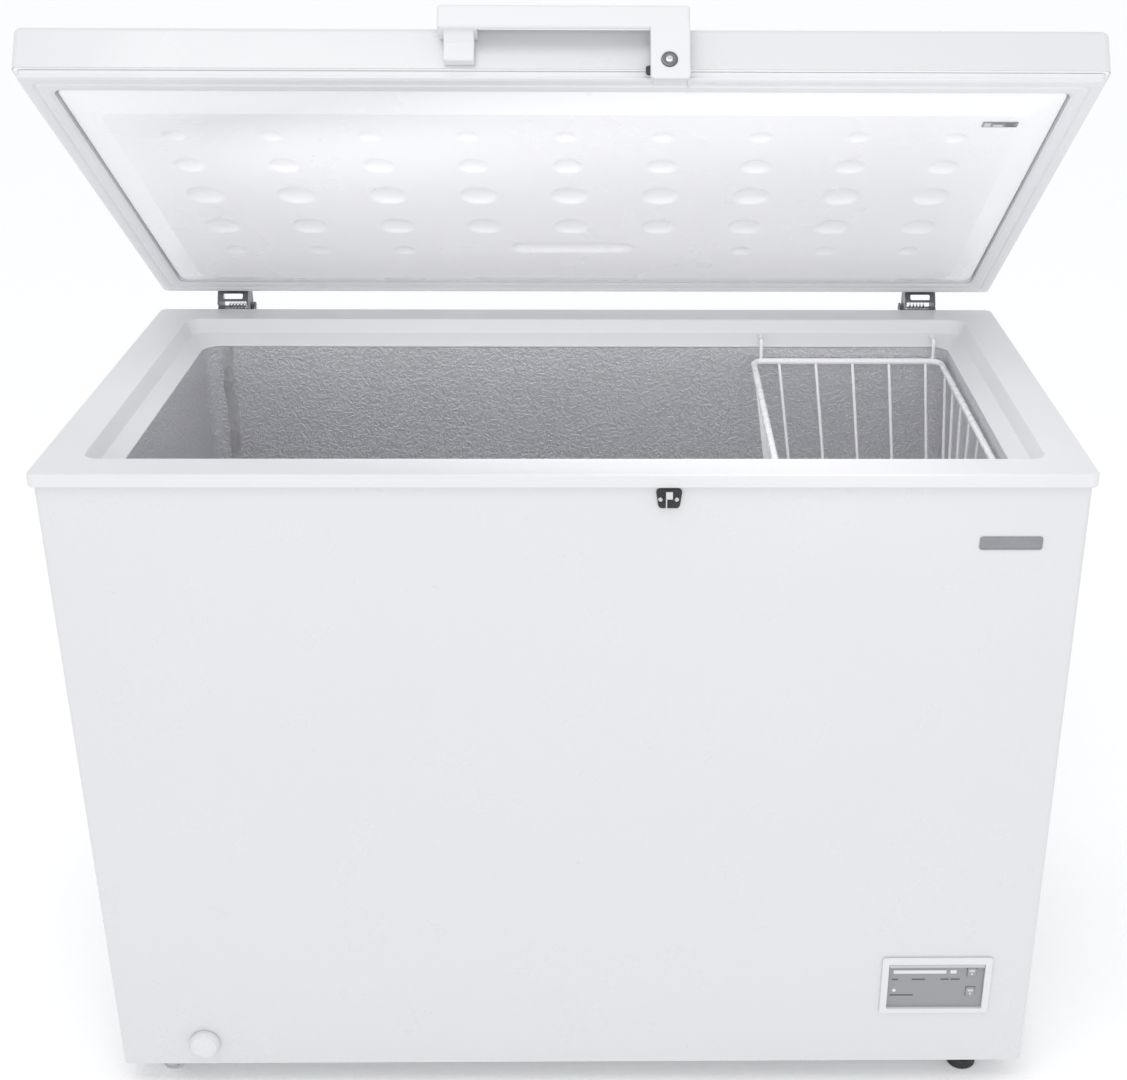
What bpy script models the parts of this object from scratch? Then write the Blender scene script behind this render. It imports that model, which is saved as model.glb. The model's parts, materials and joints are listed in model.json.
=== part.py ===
"""Chest freezer with a hinged lid, a hanging wire basket and its cooling unit.

World frame: metres, +Z up, the front faces -Y, and the origin is on the floor under the middle of
the whole object with its lid part open. Insets are measured inwards from the cabinet's outline.
"""

import math

import bmesh
import bpy
from mathutils import Matrix, Vector

# Cabinet
CABINET_W = 1.084
CABINET_D = 0.572
CABINET_BOTTOM = 0.034
RIM_Z = 0.800
FRONT = -0.303
REAR = FRONT + CABINET_D
MIDDLE_Y = FRONT + CABINET_D / 2
SKIN = 0.001
GAP = 0.0003
SIDE = CABINET_W / 2
INSIDE = SIDE - SKIN - GAP
CASE_RADIUS = 0.006

# Collar round the mouth
COLLAR_OVER = 0.005
COLLAR_H = 0.015
COLLAR_DEPTH = 0.030
CASE_TOP = RIM_Z - COLLAR_H - GAP
MOUTH_INSET = 0.065

# Tank
TANK_INSET = 0.064
TANK_FLOOR = 0.105
TANK_RADIUS = 0.022
TANK_TOP = RIM_Z - COLLAR_DEPTH - GAP
STEP_X = 0.240
STEP_Z = 0.350

# Machinery bay under the step
BAY_X = 0.300
BAY_Z = 0.290
TRAY_T = 0.002
DIVIDER_LIP_X = 0.530
COMPRESSOR = Vector((0.420, FRONT + 0.400, 0.0553))
COMPRESSOR_R = 0.070
COMPRESSOR_TALL = 0.150
COMPRESSOR_FOOT = (0.100, 0.055)
GROMMET_OFFSET = (0.085, 0.042)
LINE_Y = FRONT + 0.300
LINE_END = BAY_Z - 0.020
GRILLE_Y = (FRONT + 0.130, FRONT + 0.430)
GRILLE_Z = (0.075, 0.245)
COVER_X = (0.315, 0.525)
COVER_Z = (0.055, 0.285)
GLAND = (0.490, REAR, 0.250)

# Cooling lines bonded to the tank and to the case
EVAPORATOR_R = 0.004
CONDENSER_R = 0.0025
EVAPORATOR_Z = (0.420, 0.720)
CONDENSER_Z = (0.350, 0.700)
EVAPORATOR_TURNS = 4
CONDENSER_TURNS = 3

# Lid, drawn closed and then turned about the hinge pins
LID_OPEN = math.radians(37.35)
LID_H = 0.055
BAND_BASE = 0.0095
HINGE = Vector((0, REAR + 0.037, RIM_Z - 0.008))
HINGE_X = 0.454
HINGE_BASE_Z = (0.715, CASE_TOP - 0.002)
EAR_R = 0.008
EAR_T = 0.002
PIN_R = 0.0035
BORE_R = 0.0038
WEB_DROP = 0.003
SPRING_TURNS = 5
SPRING_R = 0.0065
SPRING_WIRE_R = 0.001
LINER_INSET = 0.064
LINER_DROP = 0.005
LID_FRONT = FRONT - COLLAR_OVER
LID_REAR = REAR + COLLAR_OVER

# Handle and lock on the lid's front face
HANDLE_X = (-0.124, 0.125)
HANDLE_OUT = 0.028
HANDLE_Z = (0.039, 0.064)
HANDLE_WALL = 0.004
LEG_X = (0.086, 0.125)
LEG_DROP = 0.015
LEFT_LEG_X = (-0.118, -0.088)
LOCK = Vector((0.1045, LID_FRONT, RIM_Z + 0.005))
LOCK_R = 0.008
CAM_REACH = 0.023

# Drain at the lower left
DRAIN_X = -0.441
DRAIN_Z = 0.0665
DRAIN_Y = FRONT + 0.120
DRAIN_R = 0.011
DRAIN_BORE_R = 0.0085

# Control panel at the lower right
PANEL_X = (0.364, 0.494)
PANEL_Z = (0.1075, 0.1885)
FASCIA_X = (0.3725, 0.4855)
FASCIA_Z = (0.1145, 0.1785)
FASCIA_SUNK = 0.004
TUB_WALL = 0.002
TUB_INSET = 0.0055
TUB_DEPTH = 0.032
LAMP_X = (0.378, 0.441)
LAMP_Z = (0.1635, 0.1685)
BUTTONS = {"button_upper": (0.471, 0.166), "button_lower": (0.471, 0.1375)}
BUTTON_SIZE = (0.011, 0.013)

# Keeper for the lock and the badge above the panel
KEEPER_T = 0.003
KEEPER_SCREWS = {"left": 0.0974, "right": 0.1139}
KEEPER_SCREW_Z = 0.7724
TONGUE_X = (0.1025, 0.1096)
TONGUE_Z = (0.7655, 0.7673)
TONGUE_OUT = 0.0145
TAB_TOP = 0.7845
BADGE_X = (0.430, 0.496)
BADGE_Z = (0.714, 0.729)
BADGE_R = 0.003

# Feet
ROLLER_R = 0.0135
ROLLER_X = -0.4925
FOOT_X = 0.478
FOOT_INSETS = {"front": 0.039, "rear": CABINET_D - 0.045}

# Basket
BASKET_X = (0.228, 0.470)
BASKET_Y = (FRONT + 0.075, FRONT + 0.497)
BASKET_Z = (0.560, 0.755)
BASKET_TAPER = (0.024, 0.090)
BASKET_WALL = 0.003
RAIL_R = 0.004
HOOK_R = 0.0022
HOOK_OUT = 0.021
HOOK_Z = 0.7822

WHITE = (0.86, 0.86, 0.88, 1)
WARM_WHITE = (0.83, 0.83, 0.84, 1)
GREY = (0.38, 0.38, 0.40, 1)
DARK = (0.03, 0.03, 0.032, 1)
BUTTON_GREY = (0.30, 0.30, 0.32, 1)
LAMP_WHITE = (0.85, 0.85, 0.86, 1)
ROLLER_GREY = (0.55, 0.55, 0.56, 1)
LOCK_GREY = (0.12, 0.12, 0.13, 1)
TANK_GREY = (0.62, 0.62, 0.65, 1)
STEEL = (0.55, 0.56, 0.58, 1)
COPPER = (0.80, 0.42, 0.28, 1)
FOAM = (0.80, 0.70, 0.42, 1)


def clear_scene():
    for old in list(bpy.data.objects):
        bpy.data.objects.remove(old, do_unlink=True)


def new_collection(name):
    made = bpy.data.collections.new(name)
    bpy.context.scene.collection.children.link(made)
    return made


clear_scene()
PARTS = new_collection("chest_freezer")
CUTTERS = new_collection("cutters")


def principled(name, colour, roughness, metallic):
    made = bpy.data.materials.new(name)
    made.use_nodes = True
    shader = made.node_tree.nodes["Principled BSDF"]
    shader.inputs["Base Color"].default_value = colour
    shader.inputs["Roughness"].default_value = roughness
    shader.inputs["Metallic"].default_value = metallic
    return made


def finish(obj, colour, roughness=0.4, metallic=0.0, pivot=None):
    """Gives a piece its material, its collection and, where it moves, its pivot."""
    obj.data.materials.clear()
    obj.data.materials.append(principled(obj.name, colour, roughness, metallic))
    if obj.name not in PARTS.objects:
        PARTS.objects.link(obj)
    if pivot:
        hang(obj, pivot)
    return obj


def hang(obj, pivot):
    """Parents a piece drawn in the closed frame to an empty that turns it."""
    obj.parent = pivot
    obj.matrix_parent_inverse = Matrix.Translation(-pivot.location)


def as_cutter(obj, target):
    """Hides a helper shape and moves it along with the piece it shapes."""
    if obj.name in PARTS.objects:
        PARTS.objects.unlink(obj)
    if obj.name not in CUTTERS.objects:
        CUTTERS.objects.link(obj)
    obj.hide_render = True
    obj.display_type = "WIRE"
    obj.parent = target.parent
    obj.matrix_parent_inverse = target.matrix_parent_inverse.copy()


def combine(target, helper, operation):
    as_cutter(helper, target)
    modifier = target.modifiers.new(helper.name, "BOOLEAN")
    modifier.operation = operation
    modifier.solver = "EXACT"
    modifier.object = helper


def cut(target, *helpers):
    for helper in helpers:
        combine(target, helper, "DIFFERENCE")


def add(target, *helpers):
    for helper in helpers:
        combine(target, helper, "UNION")


def object_of(name, mesh):
    made = bpy.data.objects.new(name, mesh)
    PARTS.objects.link(made)
    return made


def from_bmesh(name, bm, smooth_deg=None):
    bmesh.ops.recalc_face_normals(bm, faces=bm.faces)
    mesh = bpy.data.meshes.new(name)
    bm.to_mesh(mesh)
    bm.free()
    if smooth_deg:
        mesh.shade_smooth()
        mesh.set_sharp_from_angle(angle=math.radians(smooth_deg))
    return object_of(name, mesh)


def bevel(obj, width, segments=2):
    modifier = obj.modifiers.new("edges", "BEVEL")
    modifier.width = width
    modifier.segments = segments
    modifier.limit_method = "ANGLE"
    modifier.harden_normals = False
    return obj


def box(name, low, high, edge=0.0, segments=2):
    """A block between two corners, with rounded edges where edge is given."""
    low, high = Vector(low), Vector(high)
    bm = bmesh.new()
    bmesh.ops.create_cube(bm, size=1)
    bmesh.ops.scale(bm, vec=high - low, verts=bm.verts)
    bmesh.ops.translate(bm, vec=(low + high) / 2, verts=bm.verts)
    made = from_bmesh(name, bm)
    return bevel(made, edge, segments) if edge else made


def rod(name, start, end, radius, sides=24, end_radius=None):
    """A straight round bar or cone between two points."""
    start, end = Vector(start), Vector(end)
    run = end - start
    turn = run.to_track_quat("Z", "Y").to_matrix().to_4x4()
    bm = bmesh.new()
    bmesh.ops.create_cone(
        bm, cap_ends=True, segments=sides, radius1=radius,
        radius2=radius if end_radius is None else end_radius, depth=run.length,
        matrix=Matrix.Translation((start + end) / 2) @ turn,
    )
    return from_bmesh(name, bm, 40)


def extruded(name, outline, axis, low, high):
    """A flat outline in the two axes other than the one given, drawn out from low to high."""
    others = [i for i in range(3) if i != axis]
    bm = bmesh.new()
    corners = []
    for point in outline:
        place = [low, low, low]
        place[others[0]], place[others[1]] = point
        corners.append(bm.verts.new(place))
    face = bm.faces.new(corners)
    grown = bmesh.ops.extrude_face_region(bm, geom=[face])
    run = Vector((0, 0, 0))
    run[axis] = high - low
    moved = [v for v in grown["geom"] if isinstance(v, bmesh.types.BMVert)]
    bmesh.ops.translate(bm, vec=run, verts=moved)
    return from_bmesh(name, bm)


def turned(name, profile, centre, steps=32, turn_x=0.0):
    """A solid of revolution. The profile is (radius, height) points from the top down."""
    mesh = bpy.data.meshes.new(name)
    points = [(radius, 0, height) for radius, height in profile]
    mesh.from_pydata(points, [(i, i + 1) for i in range(len(points) - 1)], [])
    made = object_of(name, mesh)
    screw = made.modifiers.new("turn", "SCREW")
    screw.steps = steps
    screw.render_steps = steps
    screw.use_merge_vertices = True
    screw.merge_threshold = 0.00005
    screw.use_smooth_shade = True
    made.location = centre
    made.rotation_euler.x = turn_x
    return made


def turned_ring(name, profile, centre, steps=32, turn_x=0.0):
    """A turned solid with a hole through it: the profile closes on itself."""
    return turned(name, profile + [profile[0]], centre, steps, turn_x)


def tube(name, points, radius, resolution=2, closed=False):
    """A round wire or pipe through the points, with capped ends or closed into a ring."""
    curve = bpy.data.curves.new(name, "CURVE")
    curve.dimensions = "3D"
    curve.bevel_depth = radius
    curve.bevel_resolution = resolution
    curve.use_fill_caps = True
    spline = curve.splines.new("POLY")
    spline.use_cyclic_u = closed
    spline.points.add(len(points) - 1)
    for slot, point in zip(spline.points, points):
        slot.co = (*point, 1)
    return object_of(name, curve)


def as_mesh(obj):
    """Turns a curve object into a mesh object of the same name, with its caps welded."""
    bpy.context.view_layer.update()
    graph = bpy.context.evaluated_depsgraph_get()
    mesh = bpy.data.meshes.new_from_object(obj.evaluated_get(graph))
    bm = bmesh.new()
    bm.from_mesh(mesh)
    bmesh.ops.remove_doubles(bm, verts=bm.verts, dist=0.00002)
    bmesh.ops.recalc_face_normals(bm, faces=bm.faces)
    bm.to_mesh(mesh)
    bm.free()
    name, place = obj.name, obj.matrix_world.copy()
    bpy.data.objects.remove(obj, do_unlink=True)
    made = object_of(name, mesh)
    made.matrix_world = place
    return made


def pipe(name, points, radius, resolution=2, closed=False):
    return as_mesh(tube(name, points, radius, resolution, closed))


def filleted(points, radius, steps=3, closed=False):
    """The points of a polyline with each corner replaced by an arc."""
    points = [Vector(p) for p in points]
    count = len(points)
    out = []
    for i, corner in enumerate(points):
        if not closed and i in (0, count - 1):
            out.append(corner)
            continue
        to_last = (points[i - 1] - corner).normalized()
        to_next = (points[(i + 1) % count] - corner).normalized()
        half = to_last.angle(to_next) / 2
        centre = corner + (to_last + to_next).normalized() * radius / math.sin(half)
        reach = radius / math.tan(half)
        first = (corner + to_last * reach - centre).normalized()
        last = (corner + to_next * reach - centre).normalized()
        out += [centre + first.slerp(last, k / steps) * radius for k in range(steps + 1)]
    return out


def outline_loop(inset, z, radius, steps=4):
    """A rounded rectangle parallel to the cabinet's outline, at height z."""
    x, y = SIDE - inset, CABINET_D / 2 - inset
    corners = [(x, y, 0), (-x, y, 0), (-x, -y, 0), (x, -y, 0)]
    shift = Vector((0, MIDDLE_Y, z))
    return [p + shift for p in filleted(corners, radius, steps, closed=True)]


def loft(name, loops, ring=False):
    """A skin through loops of equal length, capped at its two ends or closed into a ring."""
    bm = bmesh.new()
    rows = [[bm.verts.new(point) for point in loop] for loop in loops]
    pairs = list(zip(rows, rows[1:]))
    if ring:
        pairs.append((rows[-1], rows[0]))
    else:
        bm.faces.new(rows[0])
        bm.faces.new(rows[-1])
    for one, two in pairs:
        for i in range(len(one)):
            k = (i + 1) % len(one)
            bm.faces.new((one[i], one[k], two[k], two[i]))
    return from_bmesh(name, bm, 40)


def empty(name, location, turn_x=0.0):
    made = bpy.data.objects.new(name, None)
    made.location = location
    made.rotation_euler.x = turn_x
    PARTS.objects.link(made)
    return made


def lid_z(height):
    """World height, with the lid closed, of a level measured up from the gasket's face."""
    return RIM_Z + height


# ---------------------------------------------------------------- cabinet shell


def make_outer_case():
    corners = [(-SIDE, REAR, 0), (-SIDE, FRONT, 0), (SIDE, FRONT, 0), (SIDE, REAR, 0)]
    path = filleted(corners, CASE_RADIUS, 4)
    bm = bmesh.new()
    low = [bm.verts.new((p.x, p.y, CABINET_BOTTOM)) for p in path]
    high = [bm.verts.new((p.x, p.y, CASE_TOP)) for p in path]
    for i in range(len(path) - 1):
        bm.faces.new((low[i], low[i + 1], high[i + 1], high[i]))
    mesh = bpy.data.meshes.new("outer_case")
    bm.to_mesh(mesh)
    bm.free()
    case = object_of("outer_case", mesh)
    wall = case.modifiers.new("sheet", "SOLIDIFY")
    wall.thickness = SKIN
    wall.offset = -1
    reach = 0.01
    clear = TUB_INSET - 2 * GAP
    window = box(
        "panel_window",
        (PANEL_X[0] + clear, FRONT - reach, PANEL_Z[0] + clear),
        (PANEL_X[1] - clear, FRONT + reach, PANEL_Z[1] - clear),
    )
    lap = 0.01
    vent = box(
        "vent_window",
        (SIDE - reach, GRILLE_Y[0] + lap, GRILLE_Z[0] + lap),
        (SIDE + reach, GRILLE_Y[1] - lap, GRILLE_Z[1] - lap),
    )
    mouth, run = Vector((DRAIN_X, FRONT, DRAIN_Z)), Vector((0, reach, 0))
    cut(case, window, vent, rod("spout_hole", mouth - run, mouth + run, DRAIN_BORE_R + 0.001))
    finish(case, WHITE, 0.35)


def make_back_panel():
    panel = box("back_panel", (-INSIDE, REAR - SKIN, CABINET_BOTTOM), (INSIDE, REAR, CASE_TOP))
    lap, reach = 0.015, 0.01
    opening = box(
        "service_opening",
        (COVER_X[0] + lap, REAR - reach, COVER_Z[0] + lap),
        (COVER_X[1] - lap, REAR + reach, COVER_Z[1] - lap),
    )
    cut(panel, opening)
    finish(panel, WARM_WHITE, 0.45)


def floor_plate(name, seam_x, side_x, thickness):
    """A floor panel from a seam to one side wall, clear of the case's round front corner."""
    front, rear = FRONT + SKIN + GAP, REAR - SKIN - GAP
    back_off = math.copysign(CASE_RADIUS, side_x)
    outline = [
        (seam_x, front), (side_x - back_off, front), (side_x, front + CASE_RADIUS),
        (side_x, rear), (seam_x, rear),
    ]
    return extruded(name, outline, 2, CABINET_BOTTOM, CABINET_BOTTOM + thickness)


def make_floor():
    front, rear = FRONT + SKIN + GAP, REAR - SKIN - GAP
    low = CABINET_BOTTOM
    finish(floor_plate("bottom_panel", BAY_X - 2 * GAP, -INSIDE, SKIN), STEEL, 0.4, 0.8)
    tray = floor_plate("compressor_tray", BAY_X - GAP, INSIDE, TRAY_T)
    for side, inset in FOOT_INSETS.items():
        middle = Vector((FOOT_X, FRONT + inset, low))
        reach = Vector((0, 0, 0.01))
        cut(tray, rod(f"foot_hole_{side}", middle - reach, middle + reach, 0.0045))
    finish(tray, STEEL, 0.4, 0.8)
    z0 = low + TRAY_T + GAP
    outline = [
        (BAY_X, z0), (BAY_X + SKIN, z0), (BAY_X + SKIN, BAY_Z - SKIN),
        (DIVIDER_LIP_X, BAY_Z - SKIN), (DIVIDER_LIP_X, BAY_Z), (BAY_X, BAY_Z),
    ]
    divider = extruded("compartment_divider", outline, 1, front + GAP, rear - GAP)
    x = SIDE - TANK_INSET + SKIN + GAP + EVAPORATOR_R
    cut(divider, rod("line_hole", (x, LINE_Y, BAY_Z - 0.02), (x, LINE_Y, BAY_Z + 0.02), 0.0055))
    finish(divider, STEEL, 0.4, 0.8)


def cavity(name, grow, top):
    """The tank's inner space, stepped over the machinery bay, with rounded edges."""
    side, floor = SIDE - TANK_INSET + grow, TANK_FLOOR - grow
    step_x, step_z = STEP_X + grow, STEP_Z - grow
    outline = [
        (-side, floor), (step_x, floor), (step_x, step_z), (side, step_z),
        (side, top + 0.1), (-side, top + 0.1),
    ]
    front, rear = FRONT + TANK_INSET - grow, REAR - TANK_INSET + grow
    made = extruded(name, outline, 1, front, rear)
    bm = bmesh.new()
    bm.from_mesh(made.data)
    bmesh.ops.bevel(
        bm, geom=list(bm.edges), offset=TANK_RADIUS + grow, segments=3, profile=0.5, affect="EDGES",
    )
    whole = list(bm.verts) + list(bm.edges) + list(bm.faces)
    level = bmesh.ops.bisect_plane(
        bm, geom=whole, plane_co=(0, 0, top), plane_no=(0, 0, 1), clear_outer=True,
    )
    edges = [e for e in level["geom_cut"] if isinstance(e, bmesh.types.BMEdge)]
    return made, bm, edges


def make_tank():
    tank, bm, _ = cavity("inner_tank", 0.0, TANK_TOP)
    bm.to_mesh(tank.data)
    bm.free()
    tank.data.shade_smooth()
    tank.data.set_sharp_from_angle(angle=math.radians(40))
    wall = tank.modifiers.new("sheet", "SOLIDIFY")
    wall.thickness = SKIN
    wall.offset = 1
    foot = Vector((DRAIN_X, DRAIN_Y, TANK_FLOOR))
    reach = Vector((0, 0, 0.01))
    cut(tank, rod("plug_hole", foot - reach, foot + reach, 0.0088))
    finish(tank, TANK_GREY, 0.35, 0.9)


def drain_path(lead=0.0):
    return [
        (DRAIN_X, FRONT + SKIN + GAP - lead, DRAIN_Z),
        *filleted(
            [
                (DRAIN_X, FRONT + 0.060, DRAIN_Z),
                (DRAIN_X, DRAIN_Y, DRAIN_Z),
                (DRAIN_X, DRAIN_Y, TANK_FLOOR - SKIN - GAP + lead),
            ],
            0.016, 5,
        ),
    ]


def coil_path(half_x, half_y, radius, z_range, turns):
    """A rectangular helix with rounded corners that rises from the right-hand side."""
    z0, z1 = z_range
    corners = [(1, 1), (-1, 1), (-1, -1), (1, -1)]
    points = [Vector((half_x, LINE_Y, z0))]
    for k in range(4 * turns):
        sx, sy = corners[k % 4]
        z = z0 + (z1 - z0) * (k + 1) / (4 * turns)
        points.append(Vector((sx * half_x, MIDDLE_Y + sy * half_y, z)))
    points.append(Vector((half_x, MIDDLE_Y, z1)))
    lead = Vector((half_x, LINE_Y, LINE_END))
    return filleted([lead] + points, radius, 2)


def evaporator_path():
    out = SKIN + GAP + EVAPORATOR_R - TANK_INSET
    return coil_path(SIDE + out, CABINET_D / 2 + out, 0.012, EVAPORATOR_Z, EVAPORATOR_TURNS)


def condenser_path():
    into = SKIN + 2 * GAP + CONDENSER_R
    return coil_path(SIDE - into, CABINET_D / 2 - into, 0.012, CONDENSER_Z, CONDENSER_TURNS)


def make_foam():
    inset = SKIN + GAP
    low, high = CABINET_BOTTOM + SKIN + GAP, TANK_TOP
    radius = CASE_RADIUS - SKIN
    foam = loft("cabinet_foam", [outline_loop(inset, low, radius), outline_loop(inset, high, radius)])
    hollow, bm, edges = cavity("tank_hollow", SKIN + GAP, high + 0.05)
    bmesh.ops.contextual_create(bm, geom=edges)
    bmesh.ops.recalc_face_normals(bm, faces=bm.faces)
    bm.to_mesh(hollow.data)
    bm.free()
    bay = box(
        "bay_space", (BAY_X - 2 * GAP, FRONT - 0.01, 0), (SIDE + 0.01, REAR + 0.01, BAY_Z + GAP),
    )
    drain = pipe("drain_channel", drain_path(0.02), DRAIN_R + GAP)
    grooves = [
        pipe("evaporator_groove", evaporator_path(), EVAPORATOR_R + GAP, 1),
        pipe("condenser_groove", condenser_path(), CONDENSER_R + GAP, 1),
    ]
    cut(foam, hollow, bay, drain, *grooves)
    finish(foam, FOAM, 0.9)


def make_collar():
    section = [
        (-COLLAR_OVER, 0.0, 0.008), (0.040, 0.0, 0.014), (0.048, -0.016, 0.018),
        (MOUTH_INSET, -0.027, 0.022), (MOUTH_INSET, -COLLAR_DEPTH, 0.022),
        (SKIN + 2 * GAP, -COLLAR_DEPTH, 0.005), (SKIN + 2 * GAP, -COLLAR_H, 0.005),
        (-COLLAR_OVER, -COLLAR_H, 0.008),
    ]
    loops = [outline_loop(inset, RIM_Z + z, radius) for inset, z, radius in section]
    finish(loft("top_collar", loops, ring=True), WHITE, 0.4)


def make_lines():
    finish(tube("evaporator_coil", evaporator_path(), EVAPORATOR_R, 1), STEEL, 0.35, 0.9)
    finish(tube("condenser_coil", condenser_path(), CONDENSER_R, 1), STEEL, 0.35, 0.9)


# ---------------------------------------------------------------- machinery bay


def make_compressor():
    r = COMPRESSOR_R
    profile = [
        (0, COMPRESSOR_TALL), (r * 0.45, 0.146), (r * 0.8, 0.132), (r * 0.97, 0.108), (r, 0.085),
        (r, 0.079), (r + 0.003, 0.079), (r + 0.003, 0.074), (r, 0.074), (r, 0.040),
        (r * 0.95, 0.020), (r * 0.78, 0.006), (r * 0.6, 0.0), (0, 0.0),
    ]
    finish(turned("compressor_shell", profile, COMPRESSOR, 24), DARK, 0.35, 0.3)
    plate_top = COMPRESSOR.z - GAP
    half = Vector((*COMPRESSOR_FOOT, 0))
    low = COMPRESSOR - half
    high = COMPRESSOR + half
    low.z, high.z = plate_top - 0.003, plate_top
    finish(box("compressor_base", low, high, 0.001, 1), DARK, 0.5, 0.3)
    floor = CABINET_BOTTOM + TRAY_T + GAP
    tall = low.z - GAP - floor
    corners = [(-1, -1), (1, -1), (-1, 1), (1, 1)]
    off_x, off_y = GROMMET_OFFSET
    for number, (sx, sy) in enumerate(corners, 1):
        foot = Vector((COMPRESSOR.x + sx * off_x, COMPRESSOR.y + sy * off_y, floor))
        profile = [(0, tall), (0.010, tall), (0.007, tall / 2), (0.010, 0), (0, 0)]
        finish(turned(f"compressor_grommet_{number}", profile, foot, 12), DARK, 0.8)
    relay = box(
        "start_relay",
        (BAY_X + 0.012, COMPRESSOR.y - 0.022, 0.100),
        (COMPRESSOR.x - COMPRESSOR_R - 0.0035, COMPRESSOR.y + 0.022, 0.160),
        0.003,
    )
    finish(relay, DARK, 0.6)


def make_plumbing():
    evaporator_x = SIDE - TANK_INSET + SKIN + GAP + EVAPORATOR_R
    line_end = LINE_END - GAP
    suction = [
        (evaporator_x, LINE_Y, line_end), (evaporator_x, LINE_Y, 0.170),
        (evaporator_x - 0.018, LINE_Y + 0.036, 0.170),
    ]
    finish(tube("suction_tube", filleted(suction, 0.012, 3), 0.004, 1), COPPER, 0.3, 0.9)
    condenser_x = SIDE - SKIN - 2 * GAP - CONDENSER_R
    top = COMPRESSOR.z + COMPRESSOR_TALL + 0.0015
    start = COMPRESSOR + Vector((0.010, -0.020, 0))
    level = 0.240
    discharge = [
        (start.x, start.y, top), (start.x, start.y, level),
        (condenser_x, LINE_Y + 0.02, level), (condenser_x, LINE_Y, level),
        (condenser_x, LINE_Y, line_end),
    ]
    finish(tube("discharge_tube", filleted(discharge, 0.009, 3), 0.0025, 1), COPPER, 0.3, 0.9)
    profile = [
        (0, 0.110), (0.003, 0.110), (0.003, 0.098), (0.009, 0.088), (0.009, 0.022),
        (0.003, 0.012), (0.003, 0), (0, 0),
    ]
    finish(turned("filter_drier", profile, (0.515, FRONT + 0.200, 0.100), 12), COPPER, 0.3, 0.9)


def slots(name, low, high, count, axis, depth_axis, fill=0.5):
    """A row of slot-shaped cutters that share one mesh, spread along an axis."""
    bm = bmesh.new()
    low, high = Vector(low), Vector(high)
    pitch = (high[axis] - low[axis]) / count
    for k in range(count):
        a, b = low.copy(), high.copy()
        a[axis] = low[axis] + (k + (1 - fill) / 2) * pitch
        b[axis] = a[axis] + fill * pitch
        a[depth_axis] -= 0.01
        b[depth_axis] += 0.01
        place = Matrix.Translation((a + b) / 2) @ Matrix.Diagonal((*(b - a), 1))
        bmesh.ops.create_cube(bm, size=1, matrix=place)
    return from_bmesh(name, bm)


def make_covers():
    grille = box(
        "vent_grille",
        (SIDE + GAP, GRILLE_Y[0], GRILLE_Z[0]), (SIDE + 0.003, GRILLE_Y[1], GRILLE_Z[1]), 0.0008, 1,
    )
    frame = 0.014
    low = (SIDE, GRILLE_Y[0] + frame, GRILLE_Z[0] + frame)
    high = (SIDE, GRILLE_Y[1] - frame, GRILLE_Z[1] - frame)
    cut(grille, slots("grille_slots", low, high, 9, 2, 0))
    finish(grille, WARM_WHITE, 0.5)
    cover = box(
        "rear_cover",
        (COVER_X[0], REAR + GAP, COVER_Z[0]), (COVER_X[1], REAR + 0.0018, COVER_Z[1]),
    )
    frame = 0.030
    low = (COVER_X[0] + frame, REAR, COVER_Z[0] + frame)
    high = (GLAND[0] - frame, REAR, COVER_Z[1] - frame)
    middle, reach = Vector(GLAND), Vector((0, 0.01, 0))
    cut(
        cover,
        slots("cover_slots", low, high, 9, 2, 1, 0.4),
        rod("gland_hole", middle - reach, middle + reach, 0.0085),
    )
    finish(cover, STEEL, 0.45, 0.7)
    profile = [
        (0.0035, 0.016), (0.006, 0.016), (0.0085, 0.005), (0.0115, 0.005), (0.0115, 0.0022),
        (0.0081, 0.0022), (0.0081, -0.008), (0.0035, -0.008),
    ]
    gland = turned_ring("cord_gland", profile, GLAND, 12, -math.pi / 2)
    finish(gland, DARK, 0.7)


# ---------------------------------------------------------------- drain


def make_drain():
    pipe_body = pipe("drain_tube", drain_path(), DRAIN_R)
    cut(pipe_body, pipe("drain_bore", drain_path(0.03), DRAIN_BORE_R))
    finish(pipe_body, WARM_WHITE, 0.5)
    spout_r = DRAIN_BORE_R * math.cos(math.pi / 8) - GAP
    profile = [
        (0.006, 0.0065), (spout_r, 0.0065), (spout_r, -0.042), (0.006, -0.042),
    ]
    mouth = (DRAIN_X, FRONT, DRAIN_Z)
    spout_pivot = empty("drain_spout_slide", mouth)
    spout = turned_ring("drain_spout", profile, mouth, 16, math.pi / 2)
    finish(spout, WHITE, 0.5, pivot=spout_pivot)
    profile = [
        (0, 0.0130), (0.010, 0.0125), (0.0150, 0.0105), (0.0175, 0.0065), (0.0180, 0.0005),
        (0.0088, 0.0005), (0.0088, 0.0070), (0, 0.0070),
    ]
    cap = turned("drain_cap", profile, mouth, 24, math.pi / 2)
    finish(cap, WHITE, 0.45, pivot=spout_pivot)
    profile = [
        (0, 0.012), (0.004, 0.012), (0.005, 0.005), (0.014, 0.004), (0.014, GAP),
        (0.0072, GAP), (0.0070, -0.014), (0, -0.014),
    ]
    plug = turned("drain_plug", profile, (DRAIN_X, DRAIN_Y, TANK_FLOOR), 20)
    finish(plug, GREY, 0.6)


# ---------------------------------------------------------------- front fittings


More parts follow.
